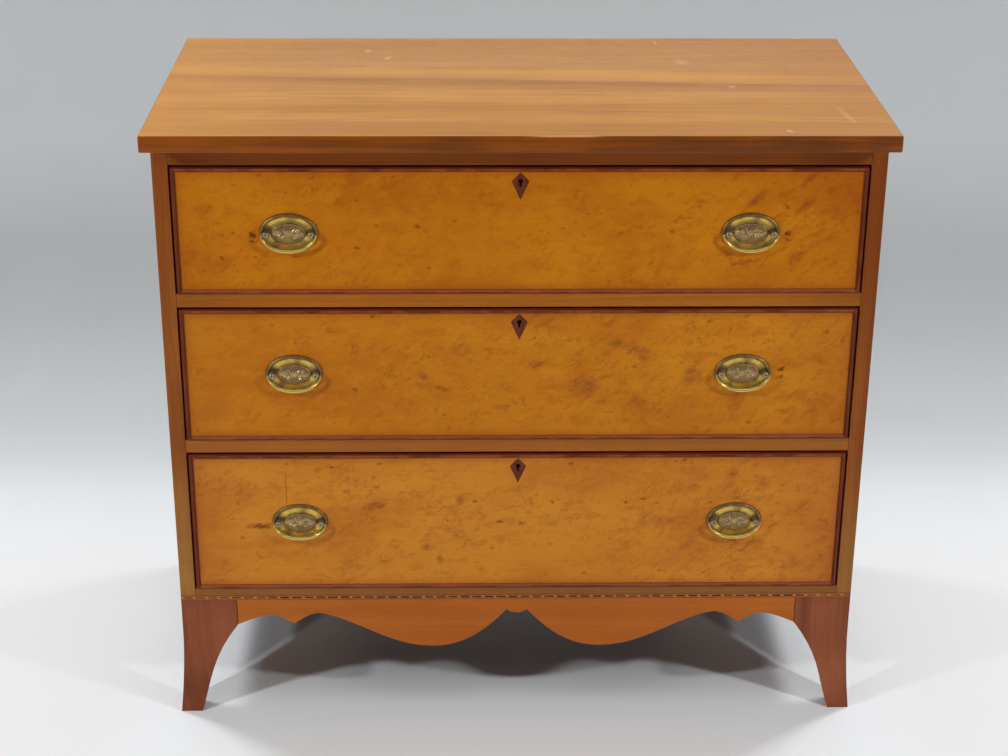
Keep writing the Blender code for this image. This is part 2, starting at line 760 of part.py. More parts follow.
def add_drawer_sides(name, drawer, height, back_top):
    outline = drawer_side_outline(height, back_top)
    inner = DRAWER_WIDTH / 2 - DRAWER_SIDE_THICKNESS
    mesh = prism([outline], "X", inner, DRAWER_WIDTH / 2)
    groove = box(
        (inner - OVERCUT, FRONT_THICKNESS - OVERCUT, GROOVE_RISE),
        (inner + GROOVE_DEPTH, DRAWER_LENGTH + OVERCUT, GROOVE_TOP),
    )
    for hand in ("left", "right"):
        side = add_part(f"{name}_side_{hand}", handed(mesh, hand), "poplar", drawer)
        combine(side, add_cutter(f"{name} bottom groove {hand}", handed(groove, hand), drawer))


def add_drawer_back(name, drawer, back_top):
    half = DRAWER_WIDTH / 2
    front = DRAWER_LENGTH - DRAWER_BACK_THICKNESS
    mesh = box((-half, front, GROOVE_TOP + FIT), (half, DRAWER_LENGTH, back_top))
    back = add_part(f"{name}_back", mesh, "poplar", drawer)
    cut_sockets(back, socket_outlines(GROOVE_TOP, back_top, front, DRAWER_LENGTH + FIT), drawer)


def add_drawer_bottom(name, drawer):
    """Panel in the grooves, thin at its edges and fielded underneath, running under the back."""
    groove_half = DRAWER_WIDTH / 2 - DRAWER_SIDE_THICKNESS + GROOVE_DEPTH - FIT
    tongue_half = DRAWER_WIDTH / 2 - DRAWER_SIDE_THICKNESS - FIT
    tongue = FRONT_THICKNESS - GROOVE_DEPTH + FIT
    start = FRONT_THICKNESS + FIT
    end = DRAWER_LENGTH
    right = [(tongue_half, tongue), (tongue_half, start), (groove_half, start), (groove_half, end)]
    outline = right + [(-x, y) for x, y in reversed(right)]
    low = GROOVE_RISE + FIT
    panel = add_part(f"{name}_bottom", prism([outline], "Z", low, GROOVE_TOP - FIT), "poplar", drawer)
    field = bmesh.new()
    bmesh.ops.create_cube(field, size=1)
    half = tongue_half - DRAWER_BOTTOM_MARGIN
    depth = end - start - 2 * DRAWER_BOTTOM_MARGIN
    bmesh.ops.scale(field, vec=(2 * half, depth, DRAWER_BOTTOM_FIELD + FIT), verts=field.verts)
    lower = [vertex for vertex in field.verts if vertex.co.z < 0]
    shrink = (1 - DRAWER_BOTTOM_BEVEL / half, 1 - 2 * DRAWER_BOTTOM_BEVEL / depth, 1)
    bmesh.ops.scale(field, vec=shrink, verts=lower)
    place = (0, (start + end) / 2, low + (FIT - DRAWER_BOTTOM_FIELD) / 2)
    combine(panel, add_cutter(f"{name} bottom field", finish_mesh(field), drawer, place), "UNION")


def cockbead(height):
    """Mitred frame with a half-round nose, swept round the edge of a drawer front."""
    radius = BEAD_THICKNESS / 2
    nose = [
        (radius - radius * math.cos(angle), radius - BEAD_PROUD - radius * math.sin(angle))
        for angle in (math.pi * i / BEAD_ROUND_STEPS for i in range(BEAD_ROUND_STEPS + 1))
    ]
    profile = [(0, BEAD_SEAT), *nose, (BEAD_THICKNESS, BEAD_SEAT)]
    work = bmesh.new()
    rings = []
    for inset, y in profile:
        corners = rectangle(inset - DRAWER_WIDTH / 2, inset, DRAWER_WIDTH / 2 - inset, height - inset)
        rings.append([work.verts.new((x, y, z)) for x, z in corners])
    for ring, following in zip(rings, rings[1:] + rings[:1]):
        for i in range(4):
            j = (i + 1) % 4
            work.faces.new((ring[i], ring[j], following[j], following[i]))
    return finish_mesh(work)


# Locks

def key_outline():
    """Keyhole: a round eye with a slot hanging from it, around the key's own axis."""
    half = KEYHOLE_SLOT_WIDTH / 2
    opening = math.asin(half / KEYHOLE_RADIUS)
    turn = 2 * math.pi - 2 * opening
    eye = []
    for i in range(KEYHOLE_STEPS + 1):
        angle = -math.pi / 2 + opening + turn * i / KEYHOLE_STEPS
        eye.append((KEYHOLE_RADIUS * math.cos(angle), KEYHOLE_RADIUS * math.sin(angle)))
    return [*eye, (-half, -KEYHOLE_SLOT_LENGTH), (half, -KEYHOLE_SLOT_LENGTH)]


def kite(slack):
    half = ESCUTCHEON_WIDTH / 2
    rise = ESCUTCHEON_RISE
    fall = ESCUTCHEON_FALL
    return [(0, rise + slack), (-half - slack, 0), (0, -fall - slack), (half + slack, 0)]


def lock_bolt_outline():
    """Bolt with a round-topped notch below, where the key's bit lifts it; z = 0 is its lower end."""
    half = BOLT_WIDTH / 2
    arch = bolt_notch_height()
    points = [(half, 0), (half, BOLT_LENGTH), (-half, BOLT_LENGTH), (-half, 0), (-TALON_RADIUS, 0)]
    for i in range(TALON_STEPS + 1):
        angle = math.pi - math.pi * i / TALON_STEPS
        points.append((TALON_RADIUS * math.cos(angle), arch + TALON_RADIUS * math.sin(angle)))
    return [*points, (TALON_RADIUS, 0)]


def bolt_notch_height():
    """Height of the key's axis above the lower end of the bolt at rest."""
    return BOLT_LENGTH + FIT - KEY_DROP


def add_lock(name, drawer, front, height, rail, rail_z):
    """Escutcheon, lock and bolt, with the way for the key and the strike in the rail above."""
    key_place = (0, 0, height - KEY_DROP)
    key_way = prism([key_outline()], "Y", -OVERCUT, LOCK_FRONT + LOCK_WALL + FIT)
    keyhole = add_cutter(f"{name} keyhole", key_way, drawer, key_place)
    recess = prism([kite(FIT)], "Y", -OVERCUT, ESCUTCHEON_DEPTH + FIT)
    combine(front, add_cutter(f"{name} escutcheon recess", recess, drawer, key_place))
    plate = prism([kite(0)], "Y", 0, ESCUTCHEON_DEPTH)
    escutcheon = add_part(f"{name}_escutcheon", plate, "dark_bead", drawer, key_place)
    combine(escutcheon, keyhole)
    half = LOCK_WIDTH / 2
    mortise = box(
        (-half - FIT, LOCK_FRONT - FIT, height - LOCK_HEIGHT - FIT),
        (half + FIT, FRONT_THICKNESS + OVERCUT, height + OVERCUT),
    )
    combine(front, add_cutter(f"{name} lock mortise", mortise, drawer))
    combine(front, keyhole)

    body = box((-half, LOCK_FRONT, height - LOCK_HEIGHT), (half, FRONT_THICKNESS, height))
    lock = add_part(f"{name}_lock_case", body, "lock_brass", drawer)
    bolt_low = height - FIT - BOLT_LENGTH
    wide = BOLT_WIDTH / 2 + FIT
    bolt_back = BOLT_FRONT + BOLT_THICKNESS
    channel = box((-wide, BOLT_FRONT - FIT, bolt_low - FIT), (wide, bolt_back + FIT, height + OVERCUT))
    combine(lock, add_cutter(f"{name} bolt channel", channel, drawer))
    combine(lock, keyhole)
    bolt = prism([lock_bolt_outline()], "Y", BOLT_FRONT, bolt_back)
    add_part(f"{name}_lock_bolt", bolt, "lock_steel", drawer, (0, 0, bolt_low))

    reach = wide + STRIKE_CLEARANCE
    strike_depth = BOLT_THROW - DRAWER_TOP_GAP + STRIKE_CLEARANCE
    strike = box(
        (-reach, BOLT_FRONT - STRIKE_CLEARANCE, rail_z - OVERCUT),
        (reach, bolt_back + STRIKE_CLEARANCE, rail_z + strike_depth),
    )
    combine(rail, add_cutter(f"{name} strike", strike, rail.parent))


# Pulls

def plate_profile():
    """Half section of the stamped plate: rim bead, cove and domed medallion, of even metal."""
    edge = PLATE_WIDTH / 2
    medal = MEDALLION_WIDTH / 2
    cove = (edge - RIM_WIDTH + medal) / 2
    crown = MEDALLION_RISE
    front = [
        (0, crown),
        (medal * MEDALLION_FACE, crown - FACE_FALL),
        (medal * MEDALLION_SHOULDER, crown - SHOULDER_FALL),
        (medal, COVE_RISE + COVE_FILLET),
        (cove, COVE_RISE),
        (edge - RIM_WIDTH, COVE_RISE + COVE_FILLET),
        (edge - RIM_WIDTH * RIM_CREST, RIM_RISE),
        (edge - RIM_WIDTH * RIM_SHOULDER, RIM_RISE - PLATE_METAL),
        (edge, FIT),
    ]
    back = [
        (edge - RIM_WIDTH * RIM_FOOT, FIT),
        (edge - RIM_WIDTH * RIM_HOLLOW, RIM_RISE - PLATE_METAL),
        (edge - RIM_WIDTH - PLATE_METAL, COVE_RISE - PLATE_METAL),
        (medal, COVE_RISE - PLATE_METAL),
        (medal * MEDALLION_HOLLOW, crown - HOLLOW_FALL),
        (0, crown - PLATE_METAL),
    ]
    return front + back


def post_profile():
    """Post with a bulbous head for the bail, a collar on the plate, and a nut inside the drawer."""
    head = PIVOT_STANDOFF
    half = POST_HEAD_LENGTH / 2
    inside = -FRONT_THICKNESS - FIT
    return [
        (0, head + half * HEAD_DIMPLE),
        (POST_HEAD_RADIUS * HEAD_CROWN, head + half),
        (POST_HEAD_RADIUS, head + half * HEAD_SHOULDER),
        (POST_HEAD_RADIUS, head - half * HEAD_WAIST),
        (POST_NECK_RADIUS, head - half),
        (POST_NECK_RADIUS, POST_COLLAR_HEIGHT + POST_COLLAR_DOME),
        (POST_COLLAR_RADIUS, POST_COLLAR_HEIGHT),
        (POST_COLLAR_RADIUS, COVE_RISE - PLATE_METAL / 2),
        (SHANK_RADIUS, COVE_RISE - PLATE_METAL / 2),
        (SHANK_RADIUS, inside),
        (NUT_RADIUS, inside),
        (NUT_RADIUS, inside - NUT_HEIGHT),
        (SHANK_RADIUS, inside - NUT_HEIGHT - SHANK_END),
        (0, inside - NUT_HEIGHT - SHANK_END),
    ]


def bail_path():
    """Route of the bail from one pin, round the grip, to the other pin, with its radius."""
    inner = POST_SPACING / 2 - PIN_DEPTH
    bend = BAIL_HALF_WIDTH - BAIL_BEND
    first = math.asin(BAIL_BEND / BAIL_DROP)
    path = [(inner, 0, 0), (bend, 0, 0)]
    radii = [PIN_RADIUS, PIN_RADIUS]
    for i in range(BAIL_STEPS + 1):
        angle = first + (math.pi - 2 * first) * i / BAIL_STEPS
        path.append((BAIL_HALF_WIDTH * math.cos(angle), 0, -BAIL_DROP * math.sin(angle)))
        swell = math.sin(angle) ** 2
        radii.append(BAIL_END_RADIUS + (BAIL_GRIP_RADIUS - BAIL_END_RADIUS) * swell)
    path += [(-bend, 0, 0), (-inner, 0, 0)]
    return path, radii + [PIN_RADIUS, PIN_RADIUS]


def plate_flattening(reach):
    """Height over width of the plate's oval at a half width: the medallion is flatter than the rim."""
    edge = PLATE_WIDTH / 2
    medal = MEDALLION_WIDTH / 2
    if reach <= medal:
        return MEDALLION_HEIGHT / MEDALLION_WIDTH
    share = (reach - medal) / (edge - medal)
    return (MEDALLION_HEIGHT + share * (PLATE_HEIGHT - MEDALLION_HEIGHT)) / (2 * reach)


def add_pull(name, hand, drawer, front, place):
    plate_work = turned(plate_profile(), PLATE_STEPS)
    for vertex in plate_work.verts:
        vertex.co.z *= plate_flattening(math.hypot(vertex.co.x, vertex.co.z))
    mesh = finish_mesh(plate_work, smooth=True)
    plate = add_part(f"{name}_pull_plate_{hand}", mesh, "aged_brass", drawer, place)
    for sign in (-1, 1):
        label = f"{name} {hand} {'left' if sign < 0 else 'right'}"
        post = finish_mesh(turned(post_profile(), POST_STEPS), smooth=True)
        centre = Vector(place) + Vector((sign * POST_SPACING / 2, 0, 0))
        combine(plate, add_cutter(f"post {label}", post, drawer, centre), "UNION")
        hole = cylinder("Y", SHANK_RADIUS + FIT, -OVERCUT, FRONT_THICKNESS + OVERCUT)
        combine(front, add_cutter(f"post hole {label}", hole, drawer, centre))
        blind = -PIN_DEPTH - FIT
        mouth = POST_HEAD_RADIUS + OVERCUT
        bore = cylinder("X", PIN_RADIUS + FIT, *sorted((sign * blind, sign * mouth)))
        axis = centre + Vector((0, -PIVOT_STANDOFF, 0))
        combine(plate, add_cutter(f"pin bore {label}", bore, drawer, axis))
    pivot = Vector(place) + Vector((0, -PIVOT_STANDOFF, 0))
    add_part(f"{name}_bail_{hand}", tube(*bail_path()), "aged_brass", drawer, pivot)


# Whole drawers

def add_drawer_front(name, drawer, height, side_height):
    half = DRAWER_WIDTH / 2
    board = box((-half, 0, 0), (half, FRONT_THICKNESS, height))
    front = add_part(f"{name}_front", board, "figured_maple", drawer)
    edge = BEAD_THICKNESS + FIT
    ring = [
        rectangle(-half - OVERCUT, -OVERCUT, half + OVERCUT, height + OVERCUT),
        rectangle(edge - half, edge, half - edge, height - edge),
    ]
    combine(front, add_cutter(f"{name} bead rebate", prism(ring, "Y", -OVERCUT, BEAD_SEAT + FIT), drawer))
    tip = FRONT_THICKNESS - TAIL_LENGTH
    cut_sockets(front, socket_outlines(0, side_height, FRONT_THICKNESS, tip), drawer)
    groove_half = half - DRAWER_SIDE_THICKNESS
    groove = box(
        (-groove_half, FRONT_THICKNESS - GROOVE_DEPTH, GROOVE_RISE),
        (groove_half, FRONT_THICKNESS + OVERCUT, GROOVE_TOP),
    )
    combine(front, add_cutter(f"{name} front groove", groove, drawer))
    add_part(f"{name}_cockbead", cockbead(height), "dark_bead", drawer)
    return front


def add_drawer(name, opening, level, rail, rail_z, pull_rise):
    """One drawer in its opening; its own frame starts at the front plane, on what carries it."""
    drawer = add_empty(name, (0, FRONT_PLANE, level + FIT))
    height = opening - DRAWER_TOP_GAP - FIT
    side_height = height - DRAWER_SIDE_DROP
    back_top = side_height - DRAWER_BACK_DROP
    front = add_drawer_front(name, drawer, height, side_height)
    add_drawer_sides(name, drawer, side_height, back_top)
    add_drawer_back(name, drawer, back_top)
    add_drawer_bottom(name, drawer)
    add_lock(name, drawer, front, height, rail, rail_z)
    for hand, sign in (("left", -1), ("right", 1)):
        add_pull(name, hand, drawer, front, (sign * PULL_OFFSET, 0, height / 2 + pull_rise))


clear_scene()
PARTS = new_collection("Chest of drawers")
CUTTERS = new_collection("Cutters")
MATERIALS = {name: make_material(name) for name in FINISHES}

case_empty = add_empty("case", (0, FRONT_PLANE, 0))
case_rails = add_case(case_empty)
add_base(case_empty)
add_drawer("top_drawer", TOP_OPENING, TOP_OPENING_Z, case_rails["top"], TOP_RAIL_Z, TOP_PULL_RISE)
add_drawer(
    "middle_drawer", MIDDLE_OPENING, MIDDLE_OPENING_Z, case_rails["middle"], UPPER_DIVIDER_Z,
    MIDDLE_PULL_RISE,
)
add_drawer(
    "bottom_drawer", BOTTOM_OPENING, BOTTOM_OPENING_Z, case_rails["bottom"], LOWER_DIVIDER_Z,
    BOTTOM_PULL_RISE,
)
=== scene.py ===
"""Looks of the chest of drawers: woods, brass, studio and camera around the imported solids."""
import json
import math

import bmesh
import bpy
import numpy as np
from mathutils import Matrix, Vector

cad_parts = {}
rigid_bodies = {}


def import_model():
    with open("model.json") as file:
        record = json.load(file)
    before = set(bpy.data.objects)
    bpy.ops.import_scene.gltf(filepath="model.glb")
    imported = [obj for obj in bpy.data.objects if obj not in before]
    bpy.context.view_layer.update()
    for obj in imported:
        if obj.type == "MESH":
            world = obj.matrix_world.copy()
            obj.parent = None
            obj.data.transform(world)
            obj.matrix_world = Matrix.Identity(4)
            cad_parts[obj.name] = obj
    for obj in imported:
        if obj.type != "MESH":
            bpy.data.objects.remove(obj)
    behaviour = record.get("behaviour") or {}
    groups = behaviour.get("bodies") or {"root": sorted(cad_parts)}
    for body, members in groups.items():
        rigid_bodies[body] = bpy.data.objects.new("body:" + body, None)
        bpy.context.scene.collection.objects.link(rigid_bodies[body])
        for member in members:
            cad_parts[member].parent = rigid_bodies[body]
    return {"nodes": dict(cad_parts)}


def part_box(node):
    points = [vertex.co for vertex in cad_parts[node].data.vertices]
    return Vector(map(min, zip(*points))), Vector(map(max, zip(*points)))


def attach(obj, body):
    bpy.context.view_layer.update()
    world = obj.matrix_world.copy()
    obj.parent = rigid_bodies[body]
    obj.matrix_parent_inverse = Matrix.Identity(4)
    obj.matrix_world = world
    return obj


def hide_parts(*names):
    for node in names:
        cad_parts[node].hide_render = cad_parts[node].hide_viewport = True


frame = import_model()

NODES = frame["nodes"]
for stray in [o for o in bpy.data.objects if o.type in ("CAMERA", "LIGHT") or o.name == "Cube"]:
    bpy.data.objects.remove(stray, do_unlink=True)
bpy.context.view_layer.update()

DRAWERS = ("top_drawer", "middle_drawer", "bottom_drawer")
HANDS = ("left", "right")
MM = 0.001
FRONT_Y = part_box("top_drawer_front")[0].y
FRONT_THICKNESS = 0.022

# Camera, fitted to the edges of the case
CAMERA_PLACE = Vector((-0.0756, -2.7984, 1.6886))
CAMERA_PITCH = 0.41604
CAMERA_YAW = 0.021158
CAMERA_ROLL = 0.0059025
FOCAL_PIXELS = 1985.13
IMAGE_WIDTH = 1008
SENSOR_WIDTH = 36

# Cockbead: width, whole depth and steps of its round nose
BEAD_WIDTH = 0.006
BEAD_DEPTH = 0.011
BEAD_STEPS = 12

# Pull plates: half axes of plate and medallion, widths, and heights above the drawer front
PLATE_HALF = (0.0405, 0.0285)
MEDAL_HALF = (0.0240, 0.0142)
RIM_WIDTH = 0.0054
RIM_RISE = 0.0030
COVE_RISE = 0.0014
COVE_FILLET = 0.0009
MEDAL_EDGE = 0.0017
MEDAL_EDGE_RISE = 0.0033
MEDAL_BEAD = 0.00042
MEDAL_RISE = 0.0046
PLATE_LIP = 0.0014
PLATE_SEAT = 0.0003
PLATE_STEPS = 128
# Stamped relief: whole height, the part of it below the ground, and how it fades at the medallion's edge
RELIEF = 0.0008
RELIEF_SUNK = 0.35
RELIEF_GAP = 0.0004
RELIEF_FADE = 0.0012

# Posts, nuts and bails
POST_OFFSET = 0.031
POST_STEPS = 32
POST_GRIME = 0.0075
# Radius, height above the drawer front and hollow share of each ring, from the dimple to the collar
POST_PROFILE = (
    (0.0000, 0.0114, 0.7), (0.0008, 0.0113, 0.8), (0.0014, 0.0118, 0.4), (0.0022, 0.0126, 0.2),
    (0.0030, 0.0126, 0.2), (0.0039, 0.0120, 0.3), (0.0044, 0.0109, 0.3), (0.0045, 0.0094, 0.4),
    (0.0043, 0.0078, 0.5), (0.0036, 0.0064, 0.7), (0.0030, 0.0055, 0.9), (0.0029, 0.0044, 1.0),
    (0.0032, 0.0038, 0.9), (0.0037, 0.0035, 0.6), (0.0040, 0.0030, 0.6), (0.0041, 0.0022, 0.8),
    (0.0041, 0.0012, 1.0),
)
NUT_SIDES = 6
NUT_GAP = 0.0003
NUT_RINGS = ((0.0046, 0.0), (0.0052, 0.0005), (0.0052, 0.0027), (0.0046, 0.0032))
POST_END_STEPS = 16
POST_END_RINGS = ((0.0022, 0.0032), (0.0022, 0.0052), (0.0016, 0.0057))
PIVOT_STANDOFF = 0.009
BAIL_HALF_WIDTH = 0.0375
BAIL_DROP = 0.0245
BAIL_PIN_RADIUS = 0.0012
BAIL_END_RADIUS = 0.0014
BAIL_GRIP_RADIUS = 0.0028
BAIL_PIN_END = 0.030
BAIL_BEND = 0.0021
BAIL_STEPS = 72
BAIL_SIDES = 20


def rgb(red, green, blue):
    """Display values of 0 to 255 as scene-linear colour."""
    channels = []
    for channel in (red, green, blue):
        value = channel / 255
        channels.append(value / 12.92 if value <= 0.04045 else ((value + 0.055) / 1.055) ** 2.4)
    return (*channels, 1)


def arithmetic(operation):
    """Method of a value that adds the node of an operation."""
    def method(value, *others):
        return value.look.math(operation, value, *others)

    return method


class Value:
    """A number inside a material. Arithmetic with it adds nodes to the material."""

    __add__ = arithmetic("ADD")
    __sub__ = arithmetic("SUBTRACT")
    __mul__ = arithmetic("MULTIPLY")
    __truediv__ = arithmetic("DIVIDE")
    __abs__ = arithmetic("ABSOLUTE")
    least = arithmetic("MINIMUM")
    most = arithmetic("MAXIMUM")

    def __init__(self, look, socket):
        self.look = look
        self.socket = socket

    def __rsub__(self, other):
        return self.look.math("SUBTRACT", other, self)

    def step(self, low, high, start=0.0, end=1.0):
        """Smooth step from low to high."""
        inputs = {"Value": self, "From Min": low, "From Max": high, "To Min": start, "To Max": end}
        node = self.look.add("ShaderNodeMapRange", inputs, interpolation_type="SMOOTHSTEP")
        return Value(self.look, node.outputs[0])

    def mix(self, first, second):
        """Blend of two colours, with this number as the share of the second."""
        node = self.look.add("ShaderNodeMix", {}, data_type="RGBA")
        for index, value in ((0, self), (6, first), (7, second)):
            self.look.feed(node.inputs[index], value)
        return node.outputs[2]


class Look:
    """A material under construction, with short ways to add and link its nodes."""

    def __init__(self, name):
        self.material = bpy.data.materials.new(name)
        self.material.use_nodes = True
        self.tree = self.material.node_tree
        self.shader = self.tree.nodes["Principled BSDF"]
        self.place = self.tree.nodes.new("ShaderNodeTexCoord").outputs["Object"]
        self.parts = self.split(self.place)
        self.x, self.y, self.z = self.parts

    def add(self, kind, inputs, **settings):
        node = self.tree.nodes.new(kind)
        for key, value in settings.items():
            setattr(node, key, value)
        for key, value in inputs.items():
            self.feed(node.inputs[key], value)
        return node

    def feed(self, socket, value):
        value = value.socket if isinstance(value, Value) else value
        if isinstance(value, bpy.types.NodeSocket):
            self.tree.links.new(value, socket)
        else:
            socket.default_value = value

    def math(self, operation, *inputs):
        node = self.add("ShaderNodeMath", dict(enumerate(inputs)), operation=operation)
        return Value(self, node.outputs[0])

    def split(self, vector):
        return [Value(self, part) for part in self.add("ShaderNodeSeparateXYZ", {0: vector}).outputs]

    def join(self, x, y, z):
        return self.add("ShaderNodeCombineXYZ", {0: x, 1: y, 2: z}).outputs[0]

    def map(self, vector=None, scale=(1, 1, 1), shift=(0, 0, 0), turn=(0, 0, 0), kind="POINT"):
        inputs = {"Vector": vector or self.place, "Scale": scale, "Location": shift, "Rotation": turn}
        return self.add("ShaderNodeMapping", inputs, vector_type=kind).outputs[0]

    def shaken(self, scale, reach, detail):
        """Place moved about by noise, for ragged outlines."""
        noise = self.add("ShaderNodeTexNoise", {"Vector": self.place, "Scale": scale, "Detail": detail})
        inputs = {0: noise.outputs["Color"], 1: (0.5, 0.5, 0.5)}
        middle = self.add("ShaderNodeVectorMath", inputs, operation="SUBTRACT")
        inputs = {0: middle.outputs[0], 1: (reach, reach, reach), 2: self.place}
        return self.add("ShaderNodeVectorMath", inputs, operation="MULTIPLY_ADD").outputs[0]

    def noise(self, vector, scale, detail, roughness=0.5, warp=0.0):
        inputs = {"Vector": vector, "Scale": scale, "Detail": detail, "Roughness": roughness}
        return Value(self, self.add("ShaderNodeTexNoise", {**inputs, "Distortion": warp}).outputs["Fac"])

    def bands(self, value, scale, detail, roughness):
        inputs = {"W": value, "Scale": scale, "Detail": detail, "Roughness": roughness}
        return Value(self, self.add("ShaderNodeTexNoise", inputs, noise_dimensions="1D").outputs["Fac"])

    def edge(self, low, high):
        """Distance from the nearest edge of a board, given its lowest and highest corner."""
        a, b, c = ((part - bottom).least(top - part) for part, bottom, top in zip(self.parts, low, high))
        return a.least(b).most(a.most(b).least(c))

    def oval(self, place, centre, radii, turn, fade):
        """Mask of an oval that fades between two shares of its radii."""
        shape = self.map(place, scale=radii, shift=centre, turn=turn, kind="TEXTURE")
        distance = self.add("ShaderNodeVectorMath", {0: shape}, operation="LENGTH").outputs["Value"]
        return Value(self, distance).step(*fade)

    def finish(self, colour, rough, height, depth, strength, **others):
        """Feed the shader's own sockets, with a bump of the given depth, and return the material."""
        bump = self.add("ShaderNodeBump", {"Height": height, "Distance": depth, "Strength": strength})
        inputs = {"Base Color": colour, "Roughness": rough, "Normal": bump.outputs[0]}
        for name, value in others.items():
            inputs[name.replace("_", " ").title().replace("Ior", "IOR")] = value
        for name, value in inputs.items():
            self.feed(self.shader.inputs[name], value)
        return self.material


# Wood of the boards

GRAIN_ORDER = {"X": (0, 1, 2), "Y": (1, 2, 0), "Z": (2, 0, 1)}
DIRT = rgb(70, 34, 16)
RAW_TONE = rgb(104, 84, 68)
RIM_SHADE_TONES = (rgb(152, 76, 8), rgb(104, 52, 13))
GLINT_TONE = rgb(250, 214, 176)
SCUFF_TONE = rgb(230, 180, 134)
# Distances between which dirt, wear, the painted shade along the top's edges, darker ends, the painted bands
# of the stiles and raw wood fade: from an edge, from the middle, or along y
SOIL_REACH = (0.016, 0.001)
RUB_REACH = (0.0021, 0.0006)
RIM_REACH = (0.0018, 0.0006)
END_REACH = (0.34, 0.475)
STILE_REACH = (FRONT_Y + 0.07, FRONT_Y + 0.01)
RAW_REACH = (FRONT_Y + 0.012, FRONT_Y + 0.016)
# Painted glint on the top's front arris: its middle, and how it fades along the arris and across it
GLINT_X = 0.06
GLINT_REACH = (0.060, 0.022)
GLINT_DEPTH = (0.0024, 0.0012)
SCUFF_FADE = (1.2, 0.3)
SCUFF_DEPTH = 0.01


class Board(Look):
    """Wood of one board: growth rings round a pith beside it, fine streaks, clouds and pores."""

    def __init__(self, name, grain, pith, seed):
        super().__init__(name)
        self.seed = seed
        self.along, a, b = (self.parts[i] for i in GRAIN_ORDER[grain])

        def drawn_out(share, *shift):
            return self.map(self.join(self.along * share, a, b), shift=shift)

        self.slow = drawn_out(0.09, seed, 1.7 * seed, 0.6 * seed)
        self.waver = self.noise(self.slow, 7, 2) - 0.5
        self.ripple = self.noise(self.slow, 45, 2) - 0.5
        from_a, from_b = a - pith[0], b - pith[1]
        radius = self.math("SQRT", from_a * from_a + from_b * from_b)
        ring = radius + self.waver * 0.055 + self.ripple * 0.006 + seed
        self.broad = self.bands(ring, 42, 3, 0.55)
        self.narrow = self.bands(ring, 330, 3, 0.6)
        self.fine = self.noise(drawn_out(0.025, seed, seed, seed), 420, 3, 0.6)
        self.pores = self.noise(drawn_out(0.03, seed, 0, seed), 1500, 2).step(0.6, 0.72)
        self.clouds = self.noise(self.map(shift=(seed, seed, seed)), 9, 3, 0.55)

    def figured(self, tones, contrast, cloud, lines):
        """Clouds, rings, thin dark lines and pores."""
        dark, middle, light = tones
        figure = self.broad.step(0.3, 0.72) * (0.5 * contrast)
        figure += self.narrow.step(0.35, 0.75) * (0.28 * contrast)
        figure += self.fine.step(0.38, 0.72) * (0.26 * contrast)
        colour = (self.clouds.step(0.3, 0.72) * cloud).mix(middle, light)
        colour = figure.least(1.0).mix(colour, dark)
        if lines:
            thread = self.noise(self.map(self.slow, scale=(0.5, 1, 1), shift=(self.seed, 0, 0)), 120, 5, 0.7)
            colour = (thread.step(0.48, 0.66) * lines).mix(colour, dark)
        return (self.pores * 0.22).mix(colour, DIRT)

    def streaked(self, colour, streaks, near_front):
        """Wavering bands, each sharper on one side than on the other."""
        for axis, centre, slope, rise, fall, strength, tone in streaks:
            level = self.parts[axis] - centre - self.along * slope
            bent = level + self.ripple * (0.5 * fall) + self.waver * (0.8 * fall)
            band = bent.step(rise, 0.0) * bent.step(-fall, 0.0) * self.clouds.step(0.25, 0.6, 0.5, 1.0)
            if near_front:
                band *= self.y.step(*STILE_REACH)
            colour = (band * strength).mix(colour, tone)
        return colour

    def aged(self, colour, light, box, soil, worn):
        """Dirt towards the edges of the board, and patches where its arrises are rubbed pale."""
        near = self.edge(*box)
        ragged = self.noise(self.place, 70, 3) * 0.010 - 0.005
        colour = ((near + ragged).step(*SOIL_REACH) * soil).mix(colour, DIRT)
        rubbed = (near + ragged * 0.2).step(*RUB_REACH) * self.clouds.step(0.4, 0.6)
        return (rubbed * worn).mix(colour, light)

    def shade_rim_and_glint(self, colour, box, strength):
        """Painted shade in darker tones along the top's four edges, and a painted glint on its front arris.
        """
        low, high = box
        from_front = self.y - low.y
        inside = from_front.least(high.x - self.x).least(high.y - self.y).least(self.x - low.x)
        veins = self.noise(self.map(scale=(0.05, 1, 1), shift=(self.seed, 0, 0)), 150, 4, 0.6)
        share = self.x * 0.42 + veins * 1.2 + self.clouds * 0.7 - 0.95
        # Painted shade along the edges: darker tones that follow the grain
        tone = share.step(-0.35, 0.35).mix(*RIM_SHADE_TONES)
        colour = (inside.step(*RIM_REACH) * strength).mix(colour, tone)
        # Painted glint: a pale strip along the middle of the front arris
        thin = (from_front + (high.z - self.z)).step(*GLINT_DEPTH)
        span = abs(self.x - GLINT_X).step(*GLINT_REACH)
        return (thin * span * 0.4).mix(colour, GLINT_TONE)

    def scuffed(self, colour, level, scuffs):
        """Pale ragged scuffs on the upper face."""
        ragged = self.shaken(160, 0.006, 3)
        for (x, y), (across, along), turn, strength in scuffs:
            centre = (x * MM, y * MM, level)
            radii = (across * MM, along * MM, SCUFF_DEPTH)
            mask = self.oval(ragged, centre, radii, (0, 0, math.radians(turn)), SCUFF_FADE)
            colour = (mask * strength).mix(colour, SCUFF_TONE)
        return colour


